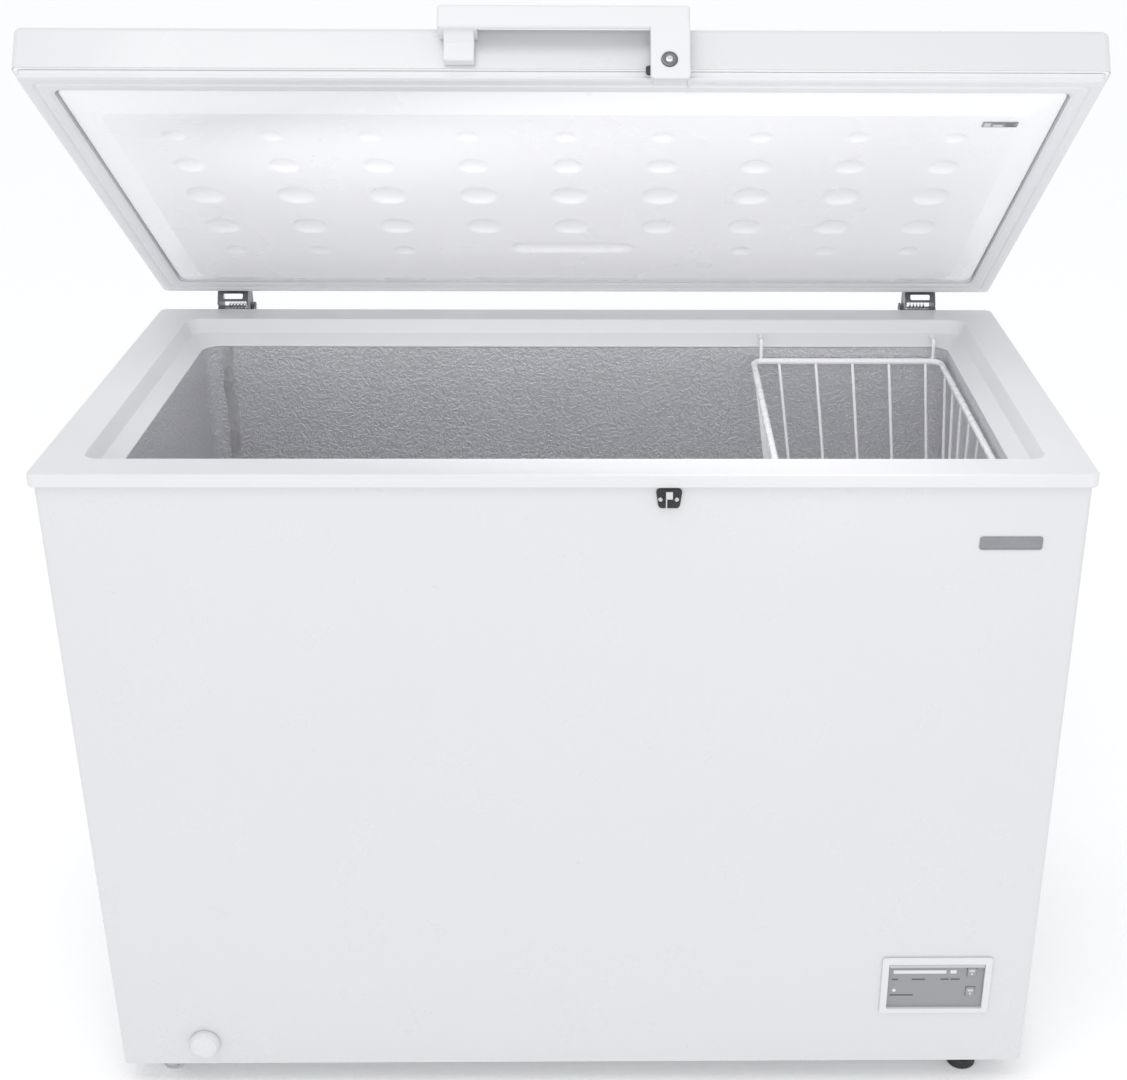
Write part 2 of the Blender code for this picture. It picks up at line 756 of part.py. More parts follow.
def make_control_panel():
    face = FRONT - 0.003
    housing = box(
        "control_housing",
        (PANEL_X[0], face, PANEL_Z[0]), (PANEL_X[1], FRONT - GAP, PANEL_Z[1]), 0.0008, 1,
    )
    tub = box(
        "housing_tub",
        (PANEL_X[0] + TUB_INSET, FRONT - 0.0015, PANEL_Z[0] + TUB_INSET),
        (PANEL_X[1] - TUB_INSET, FRONT + TUB_DEPTH, PANEL_Z[1] - TUB_INSET),
    )
    pocket = box(
        "housing_pocket",
        (FASCIA_X[0] - GAP, FRONT - 0.01, FASCIA_Z[0] - GAP),
        (FASCIA_X[1] + GAP, FRONT + TUB_DEPTH - TUB_WALL, FASCIA_Z[1] + GAP),
    )
    add(housing, tub)
    cut(housing, pocket)
    finish(housing, WHITE, 0.45)
    front = face + FASCIA_SUNK
    fascia = box(
        "control_fascia",
        (FASCIA_X[0], front, FASCIA_Z[0]), (FASCIA_X[1], front + 0.003, FASCIA_Z[1]),
    )
    half = Vector((BUTTON_SIZE[0] / 2, 0, BUTTON_SIZE[1] / 2))
    clear = Vector((GAP, 0.01, GAP))
    for name, (x, z) in BUTTONS.items():
        middle = Vector((x, front, z))
        low, high = middle - half, middle + half
        cut(fascia, box(f"{name}_hole", low - clear, high + clear))
        low.y, high.y = front - 0.0018, front + 0.006
        pivot = empty(f"{name}_slide", middle)
        finish(box(name, low, high, 0.0012, 1), BUTTON_GREY, 0.4, pivot=pivot)
    lamp_low, lamp_high = (Vector((x, front, z)) for x, z in zip(LAMP_X, LAMP_Z))
    cut(fascia, box("lamp_hole", lamp_low - clear, lamp_high + clear))
    finish(fascia, GREY, 0.5)
    lamp_low.y, lamp_high.y = front - 0.0006, front + 0.005
    finish(box("indicator_light", lamp_low, lamp_high), LAMP_WHITE, 0.2)


def make_keeper():
    back, front = FRONT - GAP, FRONT - GAP - KEEPER_T
    outline = filleted(
        [(0.0916, 0.7835, 0), (0.1206, 0.7835, 0), (0.1175, 0.762, 0), (0.0947, 0.762, 0)],
        0.004, 3, closed=True,
    )
    plate = extruded("keeper_plate", [(p.x, p.y) for p in outline], 1, front, back)
    reach = Vector((0, 0.01, 0))
    for side, x in KEEPER_SCREWS.items():
        place = Vector((x, front, KEEPER_SCREW_Z))
        cut(plate, rod(f"keeper_hole_{side}", place - reach, place + reach, 0.0018, 16))
        profile = [
            (0, 0.0017), (0.0016, 0.0015), (0.0026, GAP), (0.0015, GAP), (0.0015, -0.0028),
            (0, -0.0028),
        ]
        screw = turned(f"keeper_screw_{side}", profile, place, 16, math.pi / 2)
        finish(screw, STEEL, 0.25, 1.0)
    finish(plate, DARK, 0.45)
    (x0, x1), (z0, z1), tip = TONGUE_X, TONGUE_Z, FRONT - TONGUE_OUT
    tongue = box("keeper_tongue", (x0, tip, z0), (x1, front - GAP, z1))
    add(tongue, box("tongue_tab", (x0, tip, z0), (x1, tip + 0.0015, TAB_TOP)))
    finish(tongue, STEEL, 0.3, 0.9)


def make_badge():
    (x0, x1), (z0, z1) = BADGE_X, BADGE_Z
    corners = [Vector(c) for c in ((x0, z0, 0), (x1, z0, 0), (x1, z1, 0), (x0, z1, 0))]
    outline = [(p.x, p.y) for p in filleted(corners, BADGE_R, 2, closed=True)]
    badge = extruded("badge_plate", outline, 1, FRONT - 0.0012, FRONT - GAP)
    finish(badge, GREY, 0.3, 0.8)


# ---------------------------------------------------------------- feet


def make_feet():
    top = CABINET_BOTTOM - GAP
    for place, inset in FOOT_INSETS.items():
        axle = Vector((ROLLER_X, FRONT + inset, ROLLER_R))
        x, y = axle.x, axle.y
        bracket = box(
            f"roller_bracket_{place}",
            (x - 0.013, y - 0.016, top - 0.002), (x + 0.013, y + 0.016, top),
        )
        ear = [
            (x - 0.009, top - 0.001), (x - 0.0055, 0.009), (x + 0.0055, 0.009),
            (x + 0.009, top - 0.001),
        ]
        for sign in (-1, 1):
            low, high = sorted((y + sign * 0.0125, y + sign * 0.0140))
            add(bracket, extruded(f"roller_ear_{place}_{sign + 1}", ear, 1, low, high))
        reach = Vector((0, 0.03, 0))
        cut(bracket, rod(f"axle_hole_{place}", axle - reach, axle + reach, 0.0033, 20))
        finish(bracket, STEEL, 0.4, 0.8)
        profile = [
            (0, 0.0150), (0.003, 0.0150), (0.003, 0.0115), (0.012, 0.0115), (ROLLER_R, 0.0100),
            (ROLLER_R, -0.0100), (0.012, -0.0115), (0.003, -0.0115), (0.003, -0.0150), (0, -0.0150),
        ]
        finish(turned(f"roller_{place}", profile, axle, 20, math.pi / 2), ROLLER_GREY, 0.5)
        profile = [
            (0, 0.050), (0.0035, 0.050), (0.004, 0.049), (0.004, 0.0115), (0.0145, 0.0105),
            (0.0175, 0.004), (0.0175, 0.001), (0.0165, 0), (0, 0),
        ]
        finish(turned(f"levelling_foot_{place}", profile, (FOOT_X, y, 0), 20), DARK, 0.7)


# ---------------------------------------------------------------- lid


def make_lid(pivot):
    top = lid_z(LID_H)
    skin = box(
        "lid_skin",
        (-SIDE - COLLAR_OVER, LID_FRONT, lid_z(BAND_BASE)), (SIDE + COLLAR_OVER, LID_REAR, top),
    )
    bm = bmesh.new()
    bm.from_mesh(skin.data)
    under = [f for f in bm.faces if f.normal.z < -0.5]
    bmesh.ops.delete(bm, geom=under, context="FACES_ONLY")
    bm.to_mesh(skin.data)
    bm.free()
    bevel(skin, 0.0065, 3)
    wall = skin.modifiers.new("sheet", "SOLIDIFY")
    wall.thickness = SKIN
    wall.offset = -1
    wall.use_even_offset = True
    finish(skin, WHITE, 0.35, pivot=pivot)

    inside = -COLLAR_OVER + SKIN + GAP
    core = [
        (LINER_INSET - 0.001, -LINER_DROP + 0.0024, 0.012), (0.0320, 0.0072, 0.010),
        (0.0316, 0.0117, 0.010), (inside, 0.0117, 0.006), (inside, LID_H - 0.0068, 0.006),
        (0.0025, LID_H - SKIN - GAP - 0.0002, 0.006),
    ]
    loops = [outline_loop(inset, lid_z(z), radius) for inset, z, radius in core]
    finish(loft("lid_foam", loops), FOAM, 0.9, pivot=pivot)

    panel = [
        (LINER_INSET, -LINER_DROP, 0.014), (0.0292, 0.0045, 0.012), (0.0288, 0.0093, 0.012),
        (inside, 0.0093, 0.006), (inside, 0.0113, 0.006), (0.0310, 0.0113, 0.010),
        (0.0314, 0.0067, 0.010), (LINER_INSET - 0.0005, -LINER_DROP + 0.0020, 0.012),
    ]
    loops = [outline_loop(inset, lid_z(z), radius) for inset, z, radius in panel]
    finish(loft("lid_liner", loops), WHITE, 0.4, pivot=pivot)

    seal = [
        (-0.001, GAP, 0.006), (0.0275, GAP, 0.010), (0.0275, 0.0090, 0.010),
        (-0.001, 0.0090, 0.006),
    ]
    loops = [outline_loop(inset, lid_z(z), radius) for inset, z, radius in seal]
    finish(loft("lid_gasket", loops, ring=True), WARM_WHITE, 0.6, pivot=pivot)

    plate_z = lid_z(-LINER_DROP - GAP)
    plate_y = LID_FRONT + 0.0865
    plate = box(
        "lid_data_plate",
        (0.434, plate_y - 0.0055, plate_z - 0.0006), (0.471, plate_y + 0.0055, plate_z),
    )
    finish(plate, GREY, 0.5, pivot=pivot)


def make_handle(pivot):
    z0, z1 = (lid_z(z) for z in HANDLE_Z)
    near, far = LID_FRONT - GAP, LID_FRONT - HANDLE_OUT
    wall = HANDLE_WALL
    handle = box("lid_handle", (HANDLE_X[0], far, z0), (HANDLE_X[1], near, z1), 0.002, 2)
    finish(handle, WHITE, 0.4, pivot=pivot)
    leg = box(
        "lock_leg",
        (LEG_X[0], far, lid_z(-LEG_DROP)), (LEG_X[1], LID_FRONT - 0.002, z0 + 0.006), 0.0015, 1,
    )
    shin = LID_FRONT - 0.012
    strut = extruded(
        "left_leg",
        [
            (near, lid_z(0.012)), (shin, lid_z(0.012)), (shin, lid_z(0.030)),
            (LID_FRONT - 0.024, z0 + 0.004), (near, z0 + 0.004),
        ],
        0, *LEFT_LEG_X,
    )
    pocket = box("finger_pocket", (-0.085, far + wall, z0 - 0.02), (0.0855, near + 0.01, z1 - wall))
    lock_space = box(
        "lock_space",
        (LEG_X[0] + 0.003, far + wall, lid_z(-0.03)), (LEG_X[1] - 0.003, near + 0.01, z0 - wall),
    )
    cam_slot = box(
        "cam_slot",
        (LEG_X[0] - 0.01, far + 0.014, lid_z(-0.03)), (LEG_X[0] + 0.01, near + 0.01, lid_z(0.016)),
    )
    outward = Vector((0, 0.05, 0))
    barrel_hole = rod("barrel_hole", LOCK + outward, LOCK - outward, LOCK_R + GAP)
    add(handle, leg, strut)
    cut(handle, pocket, lock_space, cam_slot, barrel_hole)


def make_lock(pivot):
    profile = [
        (0, 0.0295), (0.0068, 0.0295), (LOCK_R, 0.0285), (LOCK_R, 0.0095), (0.004, 0.0095),
        (0.004, 0.0035), (0, 0.0035),
    ]
    barrel = turned("lock_barrel", profile, LOCK, 20, math.pi / 2)
    finish(barrel, LOCK_GREY, 0.3, 0.9, pivot)
    half = Vector((0.0045, 0, 0.0009))
    slot_back, slot_front = Vector((0, 0.0245, 0)), Vector((0, 0.035, 0))
    cut(barrel, box("keyway", LOCK - slot_front - half, LOCK - slot_back + half))
    near = LID_FRONT - 0.0045
    x, z = LOCK.x, LOCK.z
    arm = [
        (x + 0.0075, z + 0.0060), (x - 0.014, z + 0.0060), (x - CAM_REACH + 0.003, z + 0.0045),
        (x - CAM_REACH, z), (x - CAM_REACH + 0.003, z - 0.0045), (x - 0.014, z - 0.0060),
        (x + 0.0075, z - 0.0060),
    ]
    cam = extruded("lock_cam", arm, 1, near - 0.0025, near)
    finish(cam, DARK, 0.4, 0.6, pivot)
    outward = Vector((0, 0.03, 0))
    cut(cam, rod("cam_hole", LOCK + outward, LOCK - outward, 0.004 + GAP))


# ---------------------------------------------------------------- hinges


def tongue_outline(root_low, root_high, tip, radius, steps=8):
    """A plate's outline that starts on a straight root and ends round a pin."""
    root_low, root_high, tip = (Vector(p) for p in (root_low, root_high, tip))
    start = (root_high - tip).to_2d()
    turn = math.atan2(start.y, start.x)
    first, last = turn - math.pi / 2, turn - 3 * math.pi / 2 + 0.5
    arc = []
    for k in range(steps + 1):
        a = first + (last - first) * k / steps
        arc.append((tip.x + radius * math.cos(a), tip.y + radius * math.sin(a)))
    return [tuple(root_low), tuple(root_high)] + arc


def make_hinge(side, sign, pivot):
    centre = Vector((sign * HINGE_X, HINGE.y, HINGE.z))
    x0, pin_y, pin_z = centre
    reach, half_pin = Vector((0.04, 0, 0)), Vector((0.0255, 0, 0))
    base = box(
        f"hinge_base_{side}",
        (x0 - 0.026, REAR + GAP, HINGE_BASE_Z[0]), (x0 + 0.026, REAR + 0.0023, HINGE_BASE_Z[1]),
    )
    root = REAR + 0.001
    outline = tongue_outline((root, 0.725), (root, 0.777), (pin_y, pin_z), EAR_R)
    for number, inner in enumerate((-0.024, 0.022)):
        low = x0 + inner
        add(base, extruded(f"base_ear_{side}_{number}", outline, 0, low, low + EAR_T))
    cut(base, rod(f"base_bore_{side}", centre - reach, centre + reach, BORE_R, 20))
    finish(base, GREY, 0.4, 0.8)

    web_y = LID_REAR + GAP
    arm = box(
        f"hinge_arm_{side}",
        (x0 - 0.020, web_y, pin_z - WEB_DROP), (x0 + 0.020, web_y + EAR_T, lid_z(0.050)),
    )
    finish(arm, GREY, 0.4, 0.8, pivot)
    root = web_y + 0.001
    outline = tongue_outline((root, pin_z - 0.007), (root, lid_z(0.040)), (pin_y, pin_z), EAR_R)
    for number, inner in enumerate((-0.020, 0.018)):
        low = x0 + inner
        add(arm, extruded(f"arm_ear_{side}_{number}", outline, 0, low, low + EAR_T))
    window = box(
        f"arm_window_{side}",
        (x0 - 0.013, web_y - 0.01, pin_z), (x0 + 0.013, web_y + 0.01, pin_z + 0.008),
    )
    cut(arm, rod(f"arm_bore_{side}", centre - reach, centre + reach, BORE_R, 20), window)
    pin = rod(f"hinge_pin_{side}", centre - half_pin, centre + half_pin, PIN_R, 20)
    finish(pin, STEEL, 0.3, 1.0)
    per_turn = 7
    count = SPRING_TURNS * per_turn
    points = []
    for k in range(count + 1):
        a = 2 * math.pi * k / per_turn
        across = 0.022 * k / count - 0.011
        points.append(centre + Vector((across, -SPRING_R * math.sin(a), -SPRING_R * math.cos(a))))
    points.append((x0 + 0.0125, REAR + 0.0045, 0.765))
    finish(tube(f"hinge_spring_{side}", points, SPRING_WIRE_R, 0), STEEL, 0.3, 0.9)


# ---------------------------------------------------------------- basket


def basket_loop(depth, inset, z):
    """The basket's outline at a share of its depth, which narrows to the front, rear and left."""
    (x0, x1), (y0, y1) = BASKET_X, BASKET_Y
    taper_x, taper_y = (taper * depth for taper in BASKET_TAPER)
    low, high = (x0 + taper_x + inset, y0 + taper_y + inset), (x1 - inset, y1 - taper_y - inset)
    corners = [(high[0], high[1], z), (low[0], high[1], z), (low[0], low[1], z), (high[0], low[1], z)]
    return filleted(corners, 0.014 - inset, 3, closed=True)


def make_basket(pivot):
    """Plain walls stand for the wires; the rail and the hooks have their real thickness."""
    (x0, x1), (y0, y1), (z0, z1) = BASKET_X, BASKET_Y, BASKET_Z
    loops = [
        basket_loop(1, 0, z0), basket_loop(0, 0, z1), basket_loop(0, BASKET_WALL, z1),
        basket_loop(1, BASKET_WALL, z0 + BASKET_WALL),
    ]
    basket = loft("wire_basket", loops)
    rail = [Vector((p.x, p.y, z1)) for p in basket_loop(0, 0, z1)]
    add(basket, pipe("basket_rail", rail, RAIL_R, 1, closed=True))
    for inner in (x0 + 0.010, x1 - 0.010):
        for number, (y, tip) in enumerate(((y0, y0 - HOOK_OUT), (y1, y1 + HOOK_OUT))):
            run = [(inner, y, z1 - 0.001), (inner, y, HOOK_Z), (inner, tip, HOOK_Z)]
            add(basket, pipe(f"basket_hook_{number}", filleted(run, 0.004, 2), HOOK_R, 1))
    finish(basket, WHITE, 0.35, pivot=pivot)


# ---------------------------------------------------------------- assembly


def build():
    make_outer_case()
    make_back_panel()
    make_floor()
    make_tank()
    make_foam()
    make_collar()
    make_lines()
    make_compressor()
    make_plumbing()
    make_covers()
    make_drain()
    make_control_panel()
    make_keeper()
    make_badge()
    make_feet()
    lid_pivot = empty("lid_pivot", HINGE, -LID_OPEN)
    make_lid(lid_pivot)
    make_handle(lid_pivot)
    make_lock(lid_pivot)
    make_hinge("left", -1, lid_pivot)
    make_hinge("right", 1, lid_pivot)
    make_basket(empty("basket_slide", (BASKET_X[0], BASKET_Y[1], BASKET_Z[1])))
    bpy.context.view_layer.update()


build()
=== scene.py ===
"""Looks of the chest freezer: detailed pieces, materials, floor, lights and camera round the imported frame.

World frame: metres, +Z up, the front faces -Y. Lid pieces are drawn in the closed frame and then turned
about the hinge pins to where the frame holds the lid. Insets run inwards from the cabinet's outline.
"""

import json
import math

import bmesh
import bpy
from mathutils import Matrix, Vector

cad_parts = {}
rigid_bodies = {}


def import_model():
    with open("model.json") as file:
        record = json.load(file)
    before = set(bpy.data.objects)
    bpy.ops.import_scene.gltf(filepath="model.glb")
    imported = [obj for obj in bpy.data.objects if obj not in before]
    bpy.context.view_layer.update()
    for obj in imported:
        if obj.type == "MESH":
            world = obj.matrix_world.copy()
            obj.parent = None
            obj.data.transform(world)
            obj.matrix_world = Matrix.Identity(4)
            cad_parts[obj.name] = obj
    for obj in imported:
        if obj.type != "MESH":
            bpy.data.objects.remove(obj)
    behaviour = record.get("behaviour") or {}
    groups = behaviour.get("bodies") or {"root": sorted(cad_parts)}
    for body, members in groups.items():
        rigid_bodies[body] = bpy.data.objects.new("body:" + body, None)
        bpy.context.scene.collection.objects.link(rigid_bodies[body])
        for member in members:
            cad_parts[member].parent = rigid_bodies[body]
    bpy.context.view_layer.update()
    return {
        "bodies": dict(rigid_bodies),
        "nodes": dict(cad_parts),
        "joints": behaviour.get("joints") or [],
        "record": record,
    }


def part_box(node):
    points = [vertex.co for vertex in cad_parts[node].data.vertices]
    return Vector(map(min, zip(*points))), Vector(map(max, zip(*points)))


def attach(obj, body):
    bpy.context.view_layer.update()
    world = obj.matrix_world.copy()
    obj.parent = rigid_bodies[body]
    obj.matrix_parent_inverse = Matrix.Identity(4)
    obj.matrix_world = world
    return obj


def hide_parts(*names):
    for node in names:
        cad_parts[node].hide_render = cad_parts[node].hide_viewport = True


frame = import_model()
LID_JOINT = next(j for j in frame["joints"] if j["name"] == "lid_hinge")

# The cabinet's driving dimensions, read from the frame
CASE_LOW, CASE_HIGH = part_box("outer_case")
COLLAR_LOW, COLLAR_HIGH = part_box("top_collar")
TANK_LOW, TANK_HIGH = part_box("inner_tank")
SIDE, FRONT, REAR = CASE_HIGH.x, CASE_LOW.y, CASE_HIGH.y
MIDDLE_Y, HALF_D = (FRONT + REAR) / 2, (REAR - FRONT) / 2
RIM_Z, CASE_TOP, CASE_BOTTOM = COLLAR_HIGH.z, CASE_HIGH.z, CASE_LOW.z
OVER = COLLAR_HIGH.x - SIDE
LID_FRONT, LID_REAR = FRONT - OVER, REAR + OVER
SKIN = 0.001
GAP = 0.0003
CUT = 0.01  # how far a cutter reaches past the sheet it cuts

FORWARD, BACKWARD = Vector((0, -1, 0)), Vector((0, 1, 0))
UPWARD, SIDEWAYS = Vector((0, 0, 1)), Vector((1, 0, 0))

# The lid
HINGE = Vector(LID_JOINT["pos_m"])
LID_OPEN = math.radians(-LID_JOINT["range_deg"][0])
LID_TURN = (
    Matrix.Translation(HINGE) @ Matrix.Rotation(-LID_OPEN, 4, "X") @ Matrix.Translation(-HINGE)
)
LID_H = 0.055
BAND_BASE = 0.0095
LID_RADIUS = 0.0065
LINER_FLAT = -0.005
DIMPLE_PITCH = 0.1034
DIMPLE_COLUMNS = 9
DIMPLE_ROWS = ((0.464, 0.011), (0.393, 0.016), (0.316, 0.021), (0.230, 0.020), (0.157, 0.012))
DIMPLE_DEPTH = 0.20
DIMPLE_SHIFT = 0.0015
PILL_X = (-0.076, 0.071)
PILL_V = 0.166
PILL_R = 0.014
PILL_DEPTH = 0.0040
PILL_ROW_V = 0.2  # dimple rows nearer the hinges than this leave room for the groove

LOCK = Vector((0.1045, LID_FRONT, RIM_Z + 0.005))
LOCK_R = 0.008

FASCIA_LOW, FASCIA_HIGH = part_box("control_fascia")


# ---- materials


class Look:
    """A Principled material with procedural colour, roughness and bump in object space, in metres."""

    def __init__(self, name, colour, roughness, metallic=0.0, **sockets):
        self.material = bpy.data.materials.new(name)
        self.material.use_nodes = True
        tree = self.material.node_tree
        self.nodes, self.links = tree.nodes, tree.links
        self.shader = self.nodes["Principled BSDF"]
        self.shader.inputs["Base Color"].default_value = (*colour, 1)
        self.shader.inputs["Roughness"].default_value = roughness
        self.shader.inputs["Metallic"].default_value = metallic
        for socket, value in sockets.items():
            self.shader.inputs[socket.replace("_", " ")].default_value = value
        self.colour = colour
        self.place = self.nodes.new("ShaderNodeTexCoord").outputs["Object"]
        self.normal = None

    def node(self, kind, **inputs):
        made = self.nodes.new(f"ShaderNode{kind}")
        for socket, value in inputs.items():
            made.inputs[socket.replace("_", " ")].default_value = value
        return made

    def noise(self, scale, detail=2.0, distortion=0.0, stretch=None):
        node = self.node("TexNoise", Scale=scale, Detail=detail, Distortion=distortion)
        place = self.place
        if stretch:
            mapping = self.node("Mapping", Scale=stretch)
            self.links.new(place, mapping.inputs["Vector"])
            place = mapping.outputs["Vector"]
        self.links.new(place, node.inputs["Vector"])
        return node.outputs["Fac"]

    def cells(self, scale, output="Distance"):
        node = self.node("TexVoronoi", Scale=scale)
        self.links.new(self.place, node.inputs["Vector"])
        return node.outputs[output]

    def mapped(self, value, low, high, to_low=0.0, to_high=1.0):
        node = self.node("MapRange", From_Min=low, From_Max=high, To_Min=to_low, To_Max=to_high)
        node.interpolation_type = "SMOOTHSTEP"
        self.links.new(value, node.inputs["Value"])
        return node.outputs["Result"]

    def tint(self, value, spread):
        """Colour that varies about the base colour by a share each way."""
        node = self.nodes.new("ShaderNodeMix")
        node.data_type = "RGBA"
        low = [c * (1 - spread) for c in self.colour]
        high = [min(1, c * (1 + spread)) for c in self.colour]
        node.inputs["A"].default_value = (*low, 1)
        node.inputs["B"].default_value = (*high, 1)
        self.links.new(value, node.inputs["Factor"])
        self.links.new(node.outputs["Result"], self.shader.inputs["Base Color"])
        return self

    def gloss(self, value, low, high):
        self.links.new(self.mapped(value, 0.3, 0.7, low, high), self.shader.inputs["Roughness"])
        return self

    def bump(self, value, distance):
        node = self.node("Bump", Distance=distance, Strength=1.0)
        self.links.new(value, node.inputs["Height"])
        if self.normal:
            self.links.new(self.normal, node.inputs["Normal"])
        self.normal = node.outputs["Normal"]
        self.links.new(self.normal, self.shader.inputs["Normal"])
        return self


def finish(name, colour, roughness, tint, gloss, bump, **sockets):
    """Noise with (scale, detail, ...) for the tint's spread, the gloss's range and the bump's height."""
    look = Look(name, colour, roughness, **sockets)
    look.tint(look.noise(*tint[:2]), tint[2]).gloss(look.noise(*gloss[:2]), *gloss[2:])
    return look.bump(look.noise(*bump[:2]), bump[2]).material


def moulded(name, colour, low, high, grain=0.00003):
    """Moulded plastic with a fine grain and slow gloss changes."""
    return finish(
        name, colour, low, (5, 3, 0.012), (9, 3, low, high), (1500, 2, grain), Specular_IOR_Level=0.5,
    )


def vacuum_formed():
    """The liner's drawn sheet: glossy, with slow waves from the forming."""
    look = Look("liner_sheet", (0.90, 0.90, 0.915), 0.3)
    look.tint(look.noise(3, 2), 0.012).gloss(look.noise(7, 3), 0.24, 0.36)
    look.bump(look.noise(9, 2), 0.0004)
    return look.bump(look.noise(1100, 2), 0.00001).material


def stucco():
    """Embossed metal sheet: raised wrinkles a few millimetres apart, dulled in the hollows."""
    look = Look("stucco_aluminium", (0.80, 0.80, 0.82), 0.4, 0.75)
    wrinkles = look.mapped(look.noise(230, 2.5, 0.9), 0.42, 0.62)
    look.tint(look.noise(7, 5), 0.05).gloss(wrinkles, 0.36, 0.5)
    look.bump(wrinkles, 0.00045)
    return look.bump(look.noise(700, 2), 0.0001).material


def galvanised(name, colour):
    """Zinc-coated sheet with its patchwork of spangles."""
    look = Look(name, colour, 0.4, 0.9)
    spangle = look.cells(90, output="Color")
    look.tint(spangle, 0.13).gloss(look.noise(60, 3), 0.32, 0.52)
    return look.bump(look.noise(500, 3), 0.00005).material


def machined(name, colour, low, high):
    """Bare metal with a short brushed grain."""
    look = Look(name, colour, low, 1.0)
    grain, along = 600, (0.08, 1, 1)
    look.tint(look.noise(40, 4), 0.08).gloss(look.noise(grain, 3, stretch=along), low, high)
    return look.bump(look.noise(grain, 2, stretch=along), 0.00002).material


def foam():
    look = Look("foam", (0.80, 0.66, 0.34), 0.95)
    look.tint(look.noise(40, 5), 0.12)
    return look.bump(look.cells(600), 0.0004).material


def lens(name, colour, glow):
    """A milky light window, lit faintly from behind."""
    look = Look(name, colour, 0.18, Emission_Color=(*colour, 1), Emission_Strength=glow)
    look.tint(look.noise(300, 2), 0.03)
    return look.bump(look.noise(900, 2), 0.00002).material


LOOKS = {
    "white_sheet": finish(  # baked paint with a faint orange peel
        "white_enamel", (0.675, 0.675, 0.686), 0.3, (2.2, 3, 0.012), (14, 4, 0.26, 0.38),
        (420, 2, 0.00002), Coat_Weight=0.35, Coat_Roughness=0.12,
    ),
    "back_sheet": finish(
        "back_enamel", (0.74, 0.74, 0.75), 0.5, (3, 3, 0.03), (20, 4, 0.42, 0.6), (260, 3, 0.00008),
    ),
    "white_plastic": moulded("white_plastic", (0.715, 0.715, 0.726), 0.34, 0.46),
    "liner": vacuum_formed(),
    "grille_plastic": moulded("grille_plastic", (0.78, 0.78, 0.79), 0.48, 0.62, 0.00006),
    "grey_plastic": moulded("grey_plastic", (0.36, 0.36, 0.38), 0.42, 0.56, 0.00005),
    "fascia": moulded("fascia_film", (0.30, 0.30, 0.312), 0.34, 0.44),
    "fascia_rim": moulded("fascia_rim", (0.52, 0.52, 0.535), 0.38, 0.5),
    "button_plastic": moulded("button_plastic", (0.31, 0.31, 0.325), 0.4, 0.52),
    "print_dark": moulded("dark_print", (0.10, 0.10, 0.11), 0.5, 0.6),
    "print_light": moulded("light_print", (0.60, 0.60, 0.62), 0.4, 0.5),
    "lamp_plastic": lens("lamp_window", (0.70, 0.70, 0.72), 0.03),
    "badge_metal": machined("badge_metal", (0.30, 0.30, 0.32), 0.24, 0.36),
    "foam": foam(),
    "tank_metal": stucco(),
    "seam": galvanised("seam_tape", (0.80, 0.80, 0.81)),
    "galvanised_steel": galvanised("galvanised_steel", (0.58, 0.59, 0.61)),
    "hinge_steel": galvanised("hinge_steel", (0.22, 0.22, 0.235)),
    "bright_steel": machined("bright_steel", (0.66, 0.66, 0.67), 0.18, 0.32),
    "lock_steel": machined("lock_steel", (0.17, 0.17, 0.18), 0.3, 0.42),
    "black_steel": finish(
        "black_enamel", (0.022, 0.022, 0.024), 0.4, (30, 4, 0.3), (50, 4, 0.32, 0.5),
        (600, 3, 0.00008), Coat_Weight=0.3, Coat_Roughness=0.2,
    ),
    "black_plastic": moulded("black_plastic", (0.025, 0.025, 0.027), 0.45, 0.6, 0.00006),
    "black_rubber": finish(
        "black_rubber", (0.018, 0.018, 0.018), 0.62, (60, 4, 0.2), (80, 3, 0.62, 0.8), (900, 3, 0.00006),
    ),
    "gasket_rubber": finish(
        "gasket_rubber", (0.74, 0.74, 0.76), 0.55, (16, 4, 0.03), (30, 3, 0.48, 0.64), (700, 2, 0.00005),
    ),
    "copper": finish(
        "copper", (0.76, 0.40, 0.26), 0.3, (70, 5, 0.22), (90, 4, 0.24, 0.5), (700, 2, 0.00003), metallic=1.0,
    ),
    "coated_wire": finish(  # dipped plastic, thick and slightly uneven
        "coated_wire", (0.87, 0.87, 0.88), 0.25, (30, 3, 0.015), (60, 3, 0.2, 0.34),
        (160, 2, 0.0003), Coat_Weight=0.4, Coat_Roughness=0.1,
    ),
    "roller_plastic": moulded("roller_plastic", (0.52, 0.52, 0.53), 0.45, 0.6),
}


# ---- mesh tools


def filleted(points, radius, steps=3, closed=False):
    """The points of a polyline with each corner replaced by an arc."""
    points = [Vector(p) for p in points]
    count = len(points)
    out = []
    for i, corner in enumerate(points):
        if not closed and i in (0, count - 1):
            out.append(corner)
            continue
        to_last, to_next = points[i - 1] - corner, points[(i + 1) % count] - corner
        reach_limit = 0.48 * min(to_last.length, to_next.length)
        to_last.normalize()
        to_next.normalize()
        half = to_last.angle(to_next) / 2
        if half > math.radians(88):
            out.append(corner)
            continue
        bend = min(radius, reach_limit * math.tan(half))
        centre = corner + (to_last + to_next).normalized() * bend / math.sin(half)
        reach = bend / math.tan(half)
        first = (corner + to_last * reach - centre).normalized()
        last = (corner + to_next * reach - centre).normalized()
        out += [centre + first.slerp(last, k / steps) * bend for k in range(steps + 1)]
    return out


def flat_fillet(points, radius, steps=4, closed=False):
    """filleted() for (a, b) pairs."""
    made = filleted([(a, b, 0) for a, b in points], radius, steps, closed)
    return [(p.x, p.y) for p in made]


